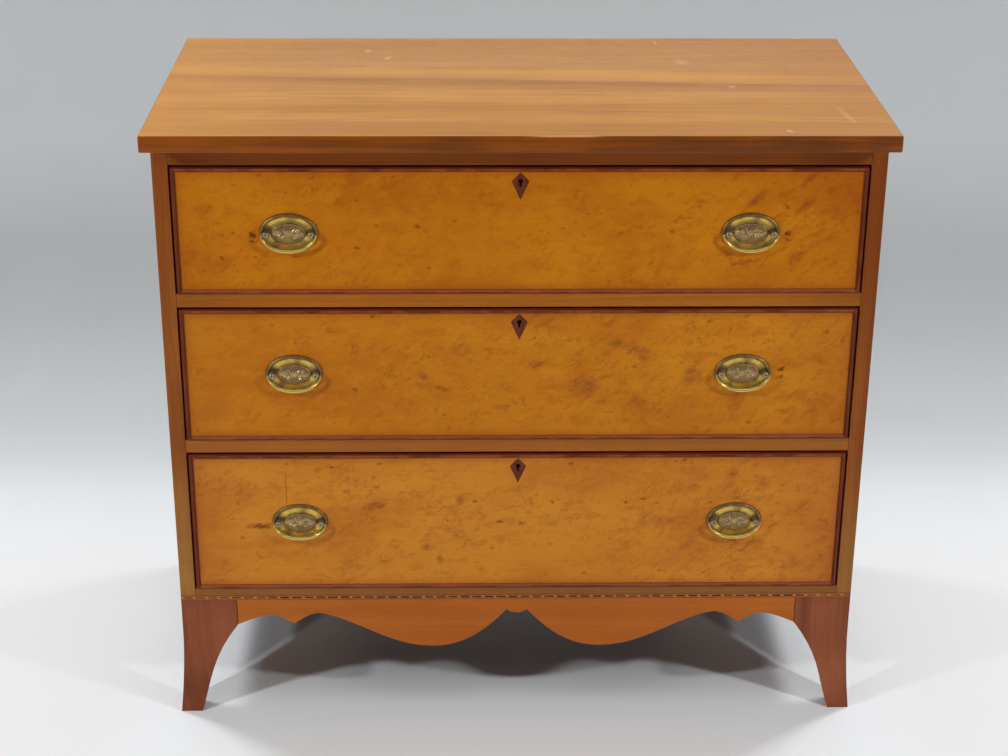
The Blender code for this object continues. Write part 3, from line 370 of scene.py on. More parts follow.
def wood(name, grain, tones, pith, box, seed, contrast=1.0, cloud=0.5, lines=0.0, streaks=(),
         near_front=False, soil=0.0, worn=0.0, ends=0.0, rim=0.0, scuffs=(), raw=False,
         roughness=0.38, coat=0.0, shine=0.13):
    """Polished board with the streaks, dirt and wear of its place on the chest, and on some boards painted
    shade, painted light and a painted glint.
    """
    look = Board(name, grain, pith, seed)
    colour = look.streaked(look.figured(tones, contrast, cloud, lines), streaks, near_front)
    if soil or worn:
        colour = look.aged(colour, tones[2], box, soil, worn)
    if ends:
        colour = (abs(look.x).step(*END_REACH) * ends).mix(colour, DIRT)
    # Painted shade along the top's edges and a painted glint on its front arris
    if rim:
        colour = look.shade_rim_and_glint(colour, box, rim)
    if scuffs:
        colour = look.scuffed(colour, box[1].z, scuffs)
    if raw:
        colour = (look.y.step(*RAW_REACH) * 0.85).mix(colour, RAW_TONE)
    polish = look.noise(look.map(shift=(seed, 0, 0)), 24, 3, 0.6)
    rough = polish * 0.14 + (roughness - 0.07) + look.pores * 0.12
    height = look.fine * 0.35 + look.narrow * 0.25 - look.pores * 0.6
    return look.finish(colour, rough, height, 0.0002, 0.5, specular_ior_level=shine, coat_weight=coat,
                       coat_roughness=0.2)


# Maple of the drawer fronts

MAPLE = (rgb(214, 128, 18), rgb(224, 141, 24), rgb(194, 105, 16), rgb(166, 78, 18), rgb(136, 58, 18),
         rgb(112, 50, 18))
MAPLE_SLANT = math.radians(38)
STAIN_DEPTH = 1.5
STAIN_FADE = (1.15, 0.35)
# Distances between which a front darkens: from its edges, and from its middle towards its ends
FRONT_EDGE = (0.020, 0.003)
FRONT_ENDS = (0.36, 0.475)
FRONT_MIDDLE = -0.012


def maple_eyes(look, place, seed, busy):
    """Mask of small dark eyes of several sizes, more of them where the figure is busy."""
    spread = look.map(place, scale=(0.6, 0, 1), shift=(seed, 0, seed))
    cells = look.add("ShaderNodeTexVoronoi", {"Vector": spread, "Scale": 62.0})
    lot = look.split(cells.outputs["Color"])
    kept = (lot[1] + busy * 0.25).step(0.80, 1.05)
    nearness = Value(look, cells.outputs["Distance"]) / (lot[0] * 0.11 + 0.05)
    return nearness.step(1.5, 0.1) * kept


def crack_mask(look, where, bottom, top, width):
    """Mask of a thin upright crack that wanders a little."""
    wander = (look.noise(look.place, 60, 2) - 0.5) * 0.002
    line = abs(look.x - where + wander).step(width, 0.2 * width)
    return line * (look.z.step(bottom, bottom + 0.01) * look.z.step(top + 0.004, top - 0.02))


def maple(name, seed, box, marks, lean, painted_light_tint, crack):
    """Amber figured maple of a drawer front, with its stains, crack and darkened edges, tinted with the
    painted light and shade of its drawer's height.
    """
    # The tint paints light and shade: darker with less sheen on the top drawer, lighter with more sheen
    # lower down
    amber, honey, russet, brown, dark, iris = (np.multiply(tone, (*painted_light_tint, 1)) for tone in MAPLE)
    look = Look(name)
    own = look.map(shift=(seed, 0.3 * seed, 0.7 * seed))

    # Glow, clouds, faint straight grain, mottles and pores
    glow = look.noise(look.map(own, scale=(0.4, 1, 1), shift=(4, 0, 2)), 7, 3, 0.55)
    clouds = look.noise(look.map(own, scale=(0.5, 1, 1)), 11, 4, 0.55)
    grain = look.noise(look.map(own, scale=(0.03, 1, 1)), 300, 4, 0.65)
    mottle = look.noise(look.map(own, scale=(0.6, 1, 1)), 62, 6, 0.66, 0.5)
    pores = look.noise(look.map(own, scale=(0.35, 1, 1)), 1000, 3, 0.6)
    colour = glow.step(0.38, 0.62).mix(amber, honey)
    colour = (clouds.step(0.46, 0.64) * 0.55).mix(colour, russet)
    colour = (grain.step(0.45, 0.68) * 0.22).mix(colour, russet)
    colour = (mottle.step(0.50, 0.66) * 0.50).mix(colour, russet)
    colour = (mottle.step(0.49, 0.36) * 0.40).mix(colour, honey)
    colour = (pores.step(0.46, 0.66) * 0.22).mix(colour, russet)

    # Slanting smudges, wisps and flecks where the figure is busy
    side = (look.x + (clouds - 0.5) * 0.5).step(*lean)
    patch = look.noise(look.map(own, shift=(1, 0, 5)), 16, 4, 0.6).step(0.45, 0.60)
    busy = (patch * 0.60 + side * 0.35 + 0.22).least(1.0)
    slant = look.map(look.map(own, turn=(0, MAPLE_SLANT, 0)), scale=(0.5, 1, 1))
    smudge = look.noise(slant, 32, 5, 0.62, 0.6).step(0.52, 0.70)
    wisp = look.noise(slant, 100, 6, 0.68, 1.0)
    wisps = wisp.step(0.51, 0.68) * busy
    fleck = look.noise(look.map(slant, shift=(3, 0, 1)), 300, 4, 0.62, 0.6).step(0.56, 0.68)
    colour = (smudge * busy * 0.45).mix(colour, brown)
    colour = (wisps * 0.60).mix(colour, brown)
    colour = (fleck * wisp.step(0.48, 0.60) * busy * 0.52).mix(colour, dark)

    # Eyes, larger stains in their places, crack, and a darker colour along the edges and towards the ends
    ragged = look.shaken(110, 0.012, 4)
    eye = maple_eyes(look, ragged, seed, busy)
    colour = (eye * 0.70).mix(colour, iris)
    broken = wisp.step(0.38, 0.58, 0.35, 1.0)
    for (x, z), (across, upright), turn, strength, tone in marks:
        centre = (x * MM, FRONT_Y, z * MM)
        radii = (across * MM, 1, upright * MM)
        mask = look.oval(ragged, centre, radii, (0, -math.radians(turn), 0), STAIN_FADE)
        colour = (mask * broken * (STAIN_DEPTH * strength)).mix(colour, tone)
    if crack:
        colour = (crack_mask(look, *crack) * 0.55).mix(colour, iris)
    near = look.edge(*box) + (mottle - 0.5) * 0.03
    colour = (near.step(*FRONT_EDGE) * 0.40).mix(colour, brown)
    colour = (abs(look.x - FRONT_MIDDLE).step(*FRONT_ENDS) * 0.34).mix(colour, brown)
    rough = look.noise(own, 26, 3, 0.6) * 0.12 + 0.30 + eye * 0.1
    height = grain * 0.4 - wisps * 0.3 - eye * 0.7
    return look.finish(colour, rough, height, 0.0002, 0.4, specular_ior_level=0.11)


# Woods of the small parts

# Cockbead: where its upright strips begin, where its crown is paler from wear and a painted highlight, and
# the painted highlight on the upper side of its lower strip
BEAD_UPRIGHT = (0.0075, 0.0065)
BEAD_CROWN = (FRONT_Y - 0.0018, FRONT_Y - 0.0029)
BEAD_HIGHLIGHT_SHELF = (0.0024, 0.0045, 0.0066, 0.0061)
# Rope inlay: length of a dark and a pale slip together, share of the dark one, slant and unevenness
ROPE_PERIOD = 0.0179
ROPE_DARK = 0.76
ROPE_LEAN = 0.40
ROPE_JITTER = 0.005


def bead_wood(name, half_width, bottom):
    """Dark cockbead: grain along each strip of the frame, paler along its crown from wear and a painted
    highlight, and a painted highlight on the upper side of its lower strip.
    """
    look = Look(name)
    upright = abs(look.x).step(*(half_width - reach for reach in BEAD_UPRIGHT))
    level = 1.0 - upright
    level_grain = look.noise(look.map(scale=(0.03, 1, 1)), 900, 3, 0.6)
    upright_grain = look.noise(look.map(scale=(1, 1, 0.03)), 900, 3, 0.6)
    grain = level_grain * level + upright_grain * upright
    patches = look.noise(look.place, 22, 3, 0.6)
    colour = grain.step(0.35, 0.7).mix(rgb(120, 50, 24), rgb(84, 31, 14))
    colour = (patches.step(0.45, 0.7) * 0.3).mix(colour, rgb(130, 54, 24))
    # Crown paler, most on the level strips: wear and a painted highlight
    rubbed = look.y.step(*BEAD_CROWN) * patches.step(0.35, 0.65) * (upright * -0.9 + 1.0)
    colour = (rubbed * 0.55).mix(colour, rgb(172, 94, 54))
    # Painted highlight on the upper side of the lower strip
    start, full, fading, end = (bottom + rise for rise in BEAD_HIGHLIGHT_SHELF)
    highlight_shelf = look.z.step(start, full) * look.z.step(fading, end) * level
    colour = (highlight_shelf * 0.6).mix(colour, rgb(170, 89, 59))
    return look.finish(colour, patches * 0.16 + 0.30, grain, 0.00015, 0.4, specular_ior_level=0.14)


def kite_wood(name):
    """Escutcheon: a slip of dark wood with upright grain and dull patches."""
    look = Look(name)
    grain = look.noise(look.map(scale=(1, 1, 0.06)), 700, 3, 0.6)
    patches = look.noise(look.place, 120, 2)
    colour = grain.step(0.35, 0.7).mix(rgb(116, 54, 30), rgb(80, 36, 20))
    colour = (patches.step(0.5, 0.75) * 0.4).mix(colour, rgb(128, 64, 36))
    return look.finish(colour, patches * 0.2 + 0.3, grain, 0.00012, 0.35, specular_ior_level=0.15)


def rope(name, low, high):
    """Rope inlay: dark slips with slanting ends between short pale ones, edged with two thin lines."""
    look = Look(name)
    half = (high.z - low.z) / 2
    rise = look.z - (low.z + high.z) / 2
    offset = abs(rise)
    jitter = (look.noise(look.map(scale=(1, 0, 0)), 40, 1) - 0.5) * ROPE_JITTER
    turn = (look.x + rise * ROPE_LEAN + jitter + 2.0) * (1 / ROPE_PERIOD)
    phase = look.math("FRACT", turn)
    dark = phase.step(0.02, 0.08) * phase.step(ROPE_DARK + 0.06, ROPE_DARK)
    dark *= offset.step(0.43 * half, 0.27 * half)
    slip = look.noise(look.map(scale=(0.1, 1, 1)), 500, 3, 0.6)
    grain = slip.step(0.35, 0.7)
    fade = look.noise(look.map(scale=(1, 0, 0)), 14, 2).step(0.3, 0.6, 0.7, 1.0)
    pale = grain.mix(rgb(190, 128, 72), rgb(164, 102, 54))
    edging = grain.mix(rgb(164, 92, 36), rgb(138, 72, 28))
    pale = offset.step(0.45 * half, 0.62 * half).mix(pale, edging)
    ebony = grain.mix(rgb(48, 22, 8), rgb(76, 38, 16))
    ebony = (abs(look.x).step(0.40, 0.47) * 0.55).mix(ebony, rgb(150, 74, 40))
    colour = (dark * fade).mix(pale, ebony)
    height = slip + dark * 0.6
    return look.finish(colour, slip * 0.18 + 0.32, height, 0.00012, 0.4, specular_ior_level=0.15)


# Metals

def brass(name, bright, stained, roughness, film=0.08, relief=0.5):
    """Old brass: bright where fingers rub it, browned in its hollows and darker where shade is painted on,
    with fine scratches and freckles.
    """
    look = Look(name)
    marks = [look.add("ShaderNodeAttribute", {}, attribute_name=name) for name in ("tarnish_and_shade", "medal")]
    hollow, medal = (Value(look, node.outputs["Fac"]) for node in marks)
    blotch = look.noise(look.place, 130, 4, 0.6)
    freckle = look.noise(look.place, 620, 3, 0.6).step(0.58, 0.72)
    scratch = look.noise(look.map(scale=(1, 1, 0.12), turn=(0, 0.5, 0)), 900, 2, 0.6)
    share = (hollow + (blotch * 0.7 - 0.35) + freckle * 0.15).step(0.05, 0.95)
    colour = share.mix(bright, stained)
    colour = (blotch.step(0.56, 0.7) * 0.3).mix(colour, rgb(128, 114, 78))
    silver = share.mix(rgb(204, 178, 132), rgb(118, 88, 64))
    colour = (medal * 0.65).mix(colour, silver)
    rough = share * 0.22 + (scratch * 0.14 + (roughness - 0.07))
    height = scratch * 0.3 + blotch * 0.5 - freckle * 0.4
    return look.finish(colour, rough, height, 0.0001, relief, metallic=share * -0.25 + (1 - film))


def metal(name, bright, stained, roughness):
    """Plain hand-filed metal inside the drawer: file marks and dull patches."""
    look = Look(name)
    files = look.noise(look.map(scale=(0.05, 1, 1), turn=(0, 0.3, 0)), 1200, 3, 0.6)
    patches = look.noise(look.place, 90, 4, 0.6)
    colour = patches.step(0.35, 0.7).mix(bright, stained)
    rough = files * 0.2 + patches * 0.2 + (roughness - 0.2)
    return look.finish(colour, rough, files, 0.00012, 0.6, metallic=1.0)


# Pieces

def mesh_object(name, vertices, faces, material, smooth=True, sharp=40):
    """Object in the scene, shaded smooth up to an angle in degrees."""
    mesh = bpy.data.meshes.new(name)
    mesh.from_pydata([tuple(v) for v in vertices], [], faces)
    mesh.validate()
    work = bmesh.new()
    work.from_mesh(mesh)
    bmesh.ops.remove_doubles(work, verts=work.verts, dist=1e-7)
    bmesh.ops.recalc_face_normals(work, faces=work.faces)
    work.to_mesh(mesh)
    work.free()
    if smooth:
        mesh.shade_smooth()
        mesh.set_sharp_from_angle(angle=math.radians(sharp))
    mesh.materials.append(material)
    piece = bpy.data.objects.new(name, mesh)
    bpy.context.scene.collection.objects.link(piece)
    return piece


def mark(piece, name, values):
    piece.data.attributes.new(name, "FLOAT", "POINT").data.foreach_set("value", values)


def turned_points(centre, rings, steps):
    """Points of rings, given by radius and y, round an axis along y through the centre."""
    points = []
    for radius, y in rings:
        for j in range(steps):
            turn = math.tau * j / steps
            points.append((centre.x + radius * math.cos(turn), y, centre.z + radius * math.sin(turn)))
    return points


def grid_faces(rows, columns, closed_rows=False):
    """Faces of a grid of points that closes round its columns."""
    faces = []
    for i in range(rows if closed_rows else rows - 1):
        for j in range(columns):
            first = i * columns
            second = (i + 1) % rows * columns
            k = (j + 1) % columns
            faces.append((first + j, first + k, second + k, second + j))
    return faces


def end_caps(rows, columns):
    """Flat faces on the first and the last row of a grid."""
    return [tuple(reversed(range(columns))), tuple(range((rows - 1) * columns, rows * columns))]


def end_fans(rows, columns):
    """Triangles from the first and the last row of a grid to the two points that follow the grid."""
    tip = rows * columns
    foot = tip - columns
    first = [(tip, j, (j + 1) % columns) for j in range(columns)]
    return first + [(tip + 1, foot + (j + 1) % columns, foot + j) for j in range(columns)]


def cockbead(drawer, material):
    """Frame with a half-round nose, mitred at its corners, round the edge of a drawer front."""
    low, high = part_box(f"{drawer}_cockbead")
    radius = BEAD_WIDTH / 2
    profile = [(0, low.y + BEAD_DEPTH)]
    for i in range(BEAD_STEPS + 1):
        angle = math.pi * i / BEAD_STEPS
        profile.append((radius - radius * math.cos(angle), low.y + radius - radius * math.sin(angle)))
    profile.append((BEAD_WIDTH, low.y + BEAD_DEPTH))
    points = []
    for inset, y in profile:
        corners = ((low.x + inset, low.z + inset), (high.x - inset, low.z + inset),
                   (high.x - inset, high.z - inset), (low.x + inset, high.z - inset))
        points += [(x, y, z) for x, z in corners]
    bead = mesh_object(f"{drawer}_bead", points, grid_faces(len(profile), 4, closed_rows=True), material)
    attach(bead, drawer)
    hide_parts(f"{drawer}_cockbead")


def ornament(x, z):
    """Height, 0 to 1, of a worn rosette between two leafy sprays, in millimetres from its middle."""
    turn = np.arctan2(z, x)
    reach = np.hypot(x, z)
    height = 0.75 * np.sqrt(np.clip(1 - (reach / (4.6 + 1.2 * np.cos(6 * turn + 0.4))) ** 2, 0, 1))
    height *= 1 - 0.7 * np.exp(-(((reach - 2.3) / 0.6) ** 2))
    for side in (-1, 1):
        for i in range(7):
            root_x = side * (4.2 + 2.3 * i)
            root_z = 1.2 * side * math.sin(0.9 * i)
            for lift in (-1, 1):
                angle = math.radians(64 - 6 * i)
                aim_x, aim_z = side * math.cos(angle), lift * math.sin(angle)
                length = 10.0 - 0.9 * i
                along = (x - root_x) * aim_x + (z - root_z) * aim_z - length / 2
                across = -(x - root_x) * aim_z + (z - root_z) * aim_x
                across = across + 0.5 * np.sin(1.1 * along)
                blade = np.sqrt(np.clip(1 - (along / (length / 2)) ** 2 - (across / 0.8) ** 2, 0, 1))
                height = np.maximum(height, blade * (0.7 + 0.3 * math.cos(2.1 * i + lift)))
    return height


def plate_rings():
    """Half axis along the width, height and hollow share of each ring, from the middle over the edge."""
    outer = PLATE_HALF[0]
    medal = MEDAL_HALF[0]
    field = medal - MEDAL_EDGE
    cove_end = outer - RIM_WIDTH
    cove_top = COVE_RISE + COVE_FILLET
    rings = []
    for a in np.linspace(0, field, 44)[1:]:
        rings.append((a, MEDAL_RISE - (MEDAL_RISE - MEDAL_EDGE_RISE) * (a / field) ** 2.6, 0.45))
    for t in np.linspace(0, 1, 9)[1:]:
        drop = (MEDAL_EDGE_RISE - COVE_RISE - COVE_FILLET) * t**1.6
        bead = MEDAL_BEAD * math.sin(math.pi * t) ** 2
        rings.append((field + t * MEDAL_EDGE, MEDAL_EDGE_RISE - drop + bead, 0.3 + 0.7 * t))
    for t in np.linspace(0, 1, 15)[1:]:
        shape = (2 * t - 1) ** 2
        place = medal + t * (cove_end - medal)
        rings.append((place, COVE_RISE + COVE_FILLET * shape, 0.12 + 0.6 * shape**4))
    for t in np.linspace(0, 1, 15)[1:]:
        angle = math.pi * t
        start = cove_top * (1 - t) + PLATE_SEAT * t
        crest = (RIM_RISE - cove_top * 0.5) * math.sin(angle) ** 0.8
        place = cove_end + RIM_WIDTH * (1 - math.cos(angle)) / 2
        rings.append((place, start + crest, 0.90 - 0.40 * math.sin(angle)))
    rings.append((outer - PLATE_LIP, PLATE_SEAT, 1.0))
    return rings


def pull_plate(drawer, hand, centre, material):
    """Stamped oval plate: rim, cove and domed medallion with its relief."""
    rings = plate_rings()
    turns = np.linspace(0, math.tau, PLATE_STEPS, endpoint=False)
    field = MEDAL_HALF[0] - MEDAL_EDGE
    cove_end = PLATE_HALF[0] - RIM_WIDTH
    points, hollows, medals = [], [], []
    for a, height, hollow in rings:
        b = np.interp(a, (0, MEDAL_HALF[0], PLATE_HALF[0]), (0, MEDAL_HALF[1], PLATE_HALF[1]))
        x = a * np.cos(turns)
        z = b * np.sin(turns)
        raised = ornament(1000 * x, 1000 * z)
        inside = 1.0 if a < field - RELIEF_GAP else 0.0
        fade = inside * min(1.0, (field - a) / RELIEF_FADE)
        heights = height + RELIEF * (raised - RELIEF_SUNK) * fade
        points += [(centre.x + px, FRONT_Y - ph, centre.z + pz) for px, ph, pz in zip(x, heights, z)]
        # On the rim, painted shade on its upper half and painted light on its lower half; in the cove,
        # mottled tarnish
        worn = 0.22 * np.sin(turns) if a > cove_end else 0.0
        if MEDAL_HALF[0] < a < cove_end:
            worn = 0.16 + 0.20 * np.sin(5 * turns + 0.6) + 0.14 * np.sin(9 * turns + 2.0)
        from_post = np.hypot(np.abs(x) - POST_OFFSET, z)
        grime = 0.6 * np.exp(-((from_post / POST_GRIME) ** 2))
        hollows += list(np.where(inside > 0, 0.70 - 0.62 * raised * fade, hollow + worn + grime))
        medals += [inside] * PLATE_STEPS
    top = MEDAL_RISE + RELIEF * (1 - RELIEF_SUNK)
    points += [(centre.x, FRONT_Y - height, centre.z) for height in (top, PLATE_SEAT)]
    hollows += [0.4, 1.0]
    medals += [1.0, 0.0]
    faces = grid_faces(len(rings), PLATE_STEPS) + end_fans(len(rings), PLATE_STEPS)
    plate = mesh_object(f"{drawer}_stamped_plate_{hand}", points, faces, material)
    mark(plate, "tarnish_and_shade", hollows)
    mark(plate, "medal", medals)
    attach(plate, drawer)
    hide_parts(f"{drawer}_pull_plate_{hand}")


def post(drawer, hand, number, centre, material):
    """Turned post of a bail: dimpled head, waist and collar, bedded in the plate."""
    tip, *profile = POST_PROFILE
    points = turned_points(centre, [(radius, FRONT_Y - height) for radius, height, _ in profile], POST_STEPS)
    points += [(centre.x, FRONT_Y - height, centre.z) for height in (tip[1], profile[-1][1])]
    hollows = [hollow for _, _, hollow in profile for _ in range(POST_STEPS)]
    hollows += [tip[2], 1.0]
    faces = grid_faces(len(profile), POST_STEPS) + end_fans(len(profile), POST_STEPS)
    turned = mesh_object(f"{drawer}_post_{hand}_{number}", points, faces, material, sharp=50)
    mark(turned, "tarnish_and_shade", hollows)
    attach(turned, drawer)


def nut(drawer, hand, number, centre, material):
    """Six-sided nut inside the drawer, and the end of the post that stands out of it."""
    back = FRONT_Y + FRONT_THICKNESS + NUT_GAP
    shapes = (("nut", NUT_RINGS, NUT_SIDES, False), ("post_end", POST_END_RINGS, POST_END_STEPS, True))
    for name, rings, steps, smooth in shapes:
        points = turned_points(centre, [(radius, back + height) for radius, height in rings], steps)
        faces = grid_faces(len(rings), steps) + end_caps(len(rings), steps)
        piece = mesh_object(f"{drawer}_{name}_{hand}_{number}", points, faces, material, smooth)
        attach(piece, drawer)


def bail_path():
    """Points (x, z) along a bail from one pin to the other, with the radius and hollow share at each."""
    first = math.asin(BAIL_BEND / BAIL_DROP)
    pin = [(x, 0.0, BAIL_PIN_RADIUS, 0.9) for x in np.linspace(BAIL_PIN_END, BAIL_HALF_WIDTH - BAIL_BEND, 4)]
    path = list(pin)
    for angle in np.linspace(first, math.pi - first, BAIL_STEPS):
        swell = math.sin(angle) ** 2
        radius = BAIL_END_RADIUS + (BAIL_GRIP_RADIUS - BAIL_END_RADIUS) * swell
        x, z = BAIL_HALF_WIDTH * math.cos(angle), -BAIL_DROP * math.sin(angle)
        path.append((x, z, radius, 0.40 - 0.38 * swell))
    return path + [(-x, z, radius, hollow) for x, z, radius, hollow in reversed(pin)]


def bail(drawer, hand, centre, material):
    """Round drop handle that thickens towards its grip, bent inwards at its ends into the posts."""
    path = bail_path()
    pivot_y = FRONT_Y - PIVOT_STANDOFF
    points, hollows = [], []
    for i, (x, z, radius, hollow) in enumerate(path):
        before = Vector(path[max(i - 1, 0)][:2])
        after = Vector(path[min(i + 1, len(path) - 1)][:2])
        tangent = (after - before).normalized()
        normal = Vector((-tangent.y, tangent.x))
        for j in range(BAIL_SIDES):
            turn = math.tau * j / BAIL_SIDES
            out = radius * math.cos(turn)
            points.append((centre.x + x + normal.x * out, pivot_y + radius * math.sin(turn),
                           centre.z + z + normal.y * out))
            hollows.append(hollow + 0.2 * max(0.0, math.sin(turn)))
    faces = grid_faces(len(path), BAIL_SIDES) + end_caps(len(path), BAIL_SIDES)
    handle = mesh_object(f"{drawer}_drop_handle_{hand}", points, faces, material, sharp=60)
    mark(handle, "tarnish_and_shade", hollows)
    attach(handle, f"{drawer}_bail_{hand}")
    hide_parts(f"{drawer}_bail_{hand}")


# Softened edges of the boards

WELD_DISTANCE = 0.00001
SMOOTH_UP_TO = math.radians(28)
ARRIS_FROM = math.radians(35)
ARRIS_WIDTH = 0.0005


def smooth_group():
    """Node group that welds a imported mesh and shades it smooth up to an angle."""
    group = bpy.data.node_groups.new("welded", "GeometryNodeTree")
    group.interface.new_socket("Geometry", in_out="INPUT", socket_type="NodeSocketGeometry")
    group.interface.new_socket("Geometry", in_out="OUTPUT", socket_type="NodeSocketGeometry")
    nodes, links = group.nodes, group.links
    start, end = nodes.new("NodeGroupInput"), nodes.new("NodeGroupOutput")
    strip = nodes.new("GeometryNodeRemoveAttribute")
    strip.inputs["Name"].default_value = "custom_normal"
    weld = nodes.new("GeometryNodeMergeByDistance")
    weld.inputs["Distance"].default_value = WELD_DISTANCE
    faces = nodes.new("GeometryNodeSetShadeSmooth")
    angle = nodes.new("GeometryNodeInputMeshEdgeAngle")
    steep = nodes.new("FunctionNodeCompare")
    steep.operation = "GREATER_THAN"
    steep.inputs[1].default_value = SMOOTH_UP_TO
    edges = nodes.new("GeometryNodeSetShadeSmooth")
    edges.domain = "EDGE"
    edges.inputs["Shade Smooth"].default_value = False
    chain = (start, strip, weld, faces, edges, end)
    for before, after in zip(chain, chain[1:]):
        links.new(before.outputs[0], after.inputs[0])
    links.new(angle.outputs["Unsigned Angle"], steep.inputs[0])
    links.new(steep.outputs[0], edges.inputs["Selection"])
    return group


WELDED = smooth_group()


def soften(node, width=0.0):
    """Weld a board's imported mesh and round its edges."""
    board = NODES[node]
    weld = board.modifiers.new("weld", "NODES")
    weld.node_group = WELDED
    if width:
        bevel = board.modifiers.new("arris", "BEVEL")
        bevel.width = width
        bevel.segments = 2
        bevel.limit_method = "ANGLE"
        bevel.angle_limit = ARRIS_FROM
        bevel.harden_normals = True


def dress(node, material):
    for slot in NODES[node].material_slots:
        slot.material = material


def dress_board(node, grain, tones, seed, width=ARRIS_WIDTH, pith=(0.09, 0.16), **options):
    """Give a board its own wood, with a pith beside the board's middle, and soften its edges."""
    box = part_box(node)
    middle = (box[0] + box[1]) / 2
    _, a, b = GRAIN_ORDER[grain]
    centre = (middle[a] + pith[0], middle[b] + pith[1])
    dress(node, wood(f"{node}_wood", grain, tones, centre, box, seed, **options))
    soften(node, width)


def bare_board(node, grain, seed, **options):
    """Give a hidden board unpolished poplar."""
    dress_board(node, grain, POPLAR, seed, roughness=0.62, **options)


# Case

# Dark, middle and light tone of each wood
CHERRY = (rgb(118, 58, 18), rgb(164, 90, 32), rgb(186, 110, 40))
CHERRY_RAIL = (rgb(146, 79, 18), rgb(189, 110, 28), rgb(202, 123, 36))
CHERRY_LOW = (rgb(135, 74, 22), rgb(175, 103, 36), rgb(189, 115, 44))
CHERRY_TOP = (rgb(149, 96, 50), rgb(185, 132, 70), rgb(199, 146, 78))
CHERRY_FOOT = (rgb(106, 50, 28), rgb(154, 83, 52), rgb(170, 98, 62))
CHERRY_BASE = (rgb(120, 71, 30), rgb(160, 100, 46), rgb(172, 112, 54))
# Top rail: darker tones, a painted shadow of the top's overhang
CHERRY_PAINTED_SHADOW = (rgb(126, 62, 16), rgb(172, 91, 28), rgb(187, 104, 34))
CHERRY_APRON = (rgb(154, 78, 22), rgb(196, 106, 36), rgb(208, 120, 43))
POPLAR = (rgb(136, 106, 62), rgb(176, 146, 98), rgb(194, 168, 122))
JOINT = rgb(60, 24, 12)

# Streaks: axis, centre, slope, widths above and below, strength and tone
TOP_STREAKS = (
    (1, 0.012, -0.06, 0.006, 0.050, 0.75, rgb(144, 92, 50)),
    (1, 0.052, -0.05, 0.030, 0.036, 0.45, rgb(204, 146, 60)),
    (1, 0.165, 0.02, 0.060, 0.045, 0.45, rgb(162, 108, 64)),
    (1, -0.225, 0.0, 0.045, 0.060, 0.55, rgb(158, 108, 60)),
    (1, -0.120, 0.03, 0.012, 0.020, 0.30, rgb(154, 100, 44)),
    (0, 0.520, 0.0, 0.02, 0.240, 0.35, rgb(158, 100, 30)),
    (0, -0.520, 0.0, 0.260, 0.02, 0.40, rgb(194, 132, 42)),
)
# Bands near the front of each side: darker near the top, painted shade under the top, and paler near the
# foot, painted light
SIDE_SHADE_AND_LIGHT = {
    "left": ((2, 0.86, 0.0, 0.10, 0.36, 0.50, rgb(136, 66, 10)),
             (2, 0.23, 0.0, 0.24, 0.10, 0.85, rgb(180, 126, 62))),
    "right": ((2, 0.86, 0.0, 0.10, 0.46, 0.85, rgb(130, 60, 10)),
              (2, 0.23, 0.0, 0.22, 0.10, 0.70, rgb(168, 112, 54))),
}
FOOT_STREAKS = {
    "left": ((2, 0.035, 0.0, 0.065, 0.04, 0.40, rgb(96, 46, 30)),
             (0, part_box("front_foot_left")[1].x, 0.0, 0.001, 0.0026, 0.8, JOINT)),
    "right": ((0, 0.432, 0.0, 0.012, 0.010, 0.5, rgb(104, 46, 28)),
              (2, 0.07, 0.0, 0.06, 0.06, 0.4, rgb(172, 102, 64)),
              (0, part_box("front_foot_right")[0].x, 0.0, 0.0026, 0.001, 0.7, JOINT)),
}
# Pale scuffs on the top, in millimetres: place (x, y), half sizes, turn in degrees and strength
TOP_SCUFFS = (
    ((-223.4, 181.9), (5.5, 6.0), 0, 0.75),
    ((-191.4, 140.3), (4.5, 10.0), -20, 0.60),
    ((220.4, 231.9), (2.5, 6.0), 0, 0.85),
    ((250.0, 117.0), (11.0, 18.0), 20, 0.26),
    ((449.0, -164.0), (6.0, 45.0), 8, 0.20),
    ((359.8, -239.7), (4.0, 8.0), 30, 0.45),
    ((309.0, -22.0), (6.0, 11.0), 0, 0.28),
)
# Rails: wood and how dark its ends are
RAILS = {
    "top_rail": (CHERRY_PAINTED_SHADOW, 0.34),
    "divider_upper": (CHERRY_RAIL, 0.28),
    "divider_lower": (CHERRY_LOW, 0.12),
}

dress_board("top_board", "X", CHERRY_TOP, 2.3, width=0, pith=(0.05, -0.35), contrast=0.7, lines=0.45,
            streaks=TOP_STREAKS, worn=0.35, rim=0.96, scuffs=TOP_SCUFFS, roughness=0.36, coat=0.08,
            shine=0.10)
for index, hand in enumerate(HANDS):
    dress_board(f"side_{hand}", "Z", CHERRY, 3.1 + 1.3 * index, pith=(0.4, 0.1), contrast=0.9, cloud=0.8,
                streaks=SIDE_SHADE_AND_LIGHT[hand], near_front=True, soil=0.1)
    dress_board(f"front_foot_{hand}", "Z", CHERRY_FOOT, 5.2 + index, contrast=0.7,
                streaks=FOOT_STREAKS[hand], soil=0.12)
    dress_board(f"base_side_{hand}", "Y", CHERRY_FOOT, 6.4 + index, contrast=0.6, soil=0.12)
    bare_board(f"rear_foot_{hand}", "X", 7.7 + index, width=0)
    for level in ("upper", "lower"):
        bare_board(f"runner_{level}_{hand}", "Y", 8.1 + index)
for index, (node, (tones, ends)) in enumerate(RAILS.items()):
    dress_board(node, "X", tones, 9.2 + 1.1 * index, contrast=0.8, ends=ends, raw=True)
dress_board("case_bottom", "X", CHERRY_BASE, 12.5, contrast=0.7, ends=0.12, raw=True)
dress_board("apron", "X", CHERRY_APRON, 13.5, width=0.0004, contrast=0.45, raw=True)
for index, level in enumerate(("upper", "lower")):
    bare_board(f"back_board_{level}", "X", 15.2 + index, soil=0.2)
dress("rope_inlay", rope("rope_inlay_woods", *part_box("rope_inlay")))

# Drawers

STAIN, SMOKE, RUST = rgb(150, 68, 16), rgb(152, 80, 34), rgb(108, 38, 14)
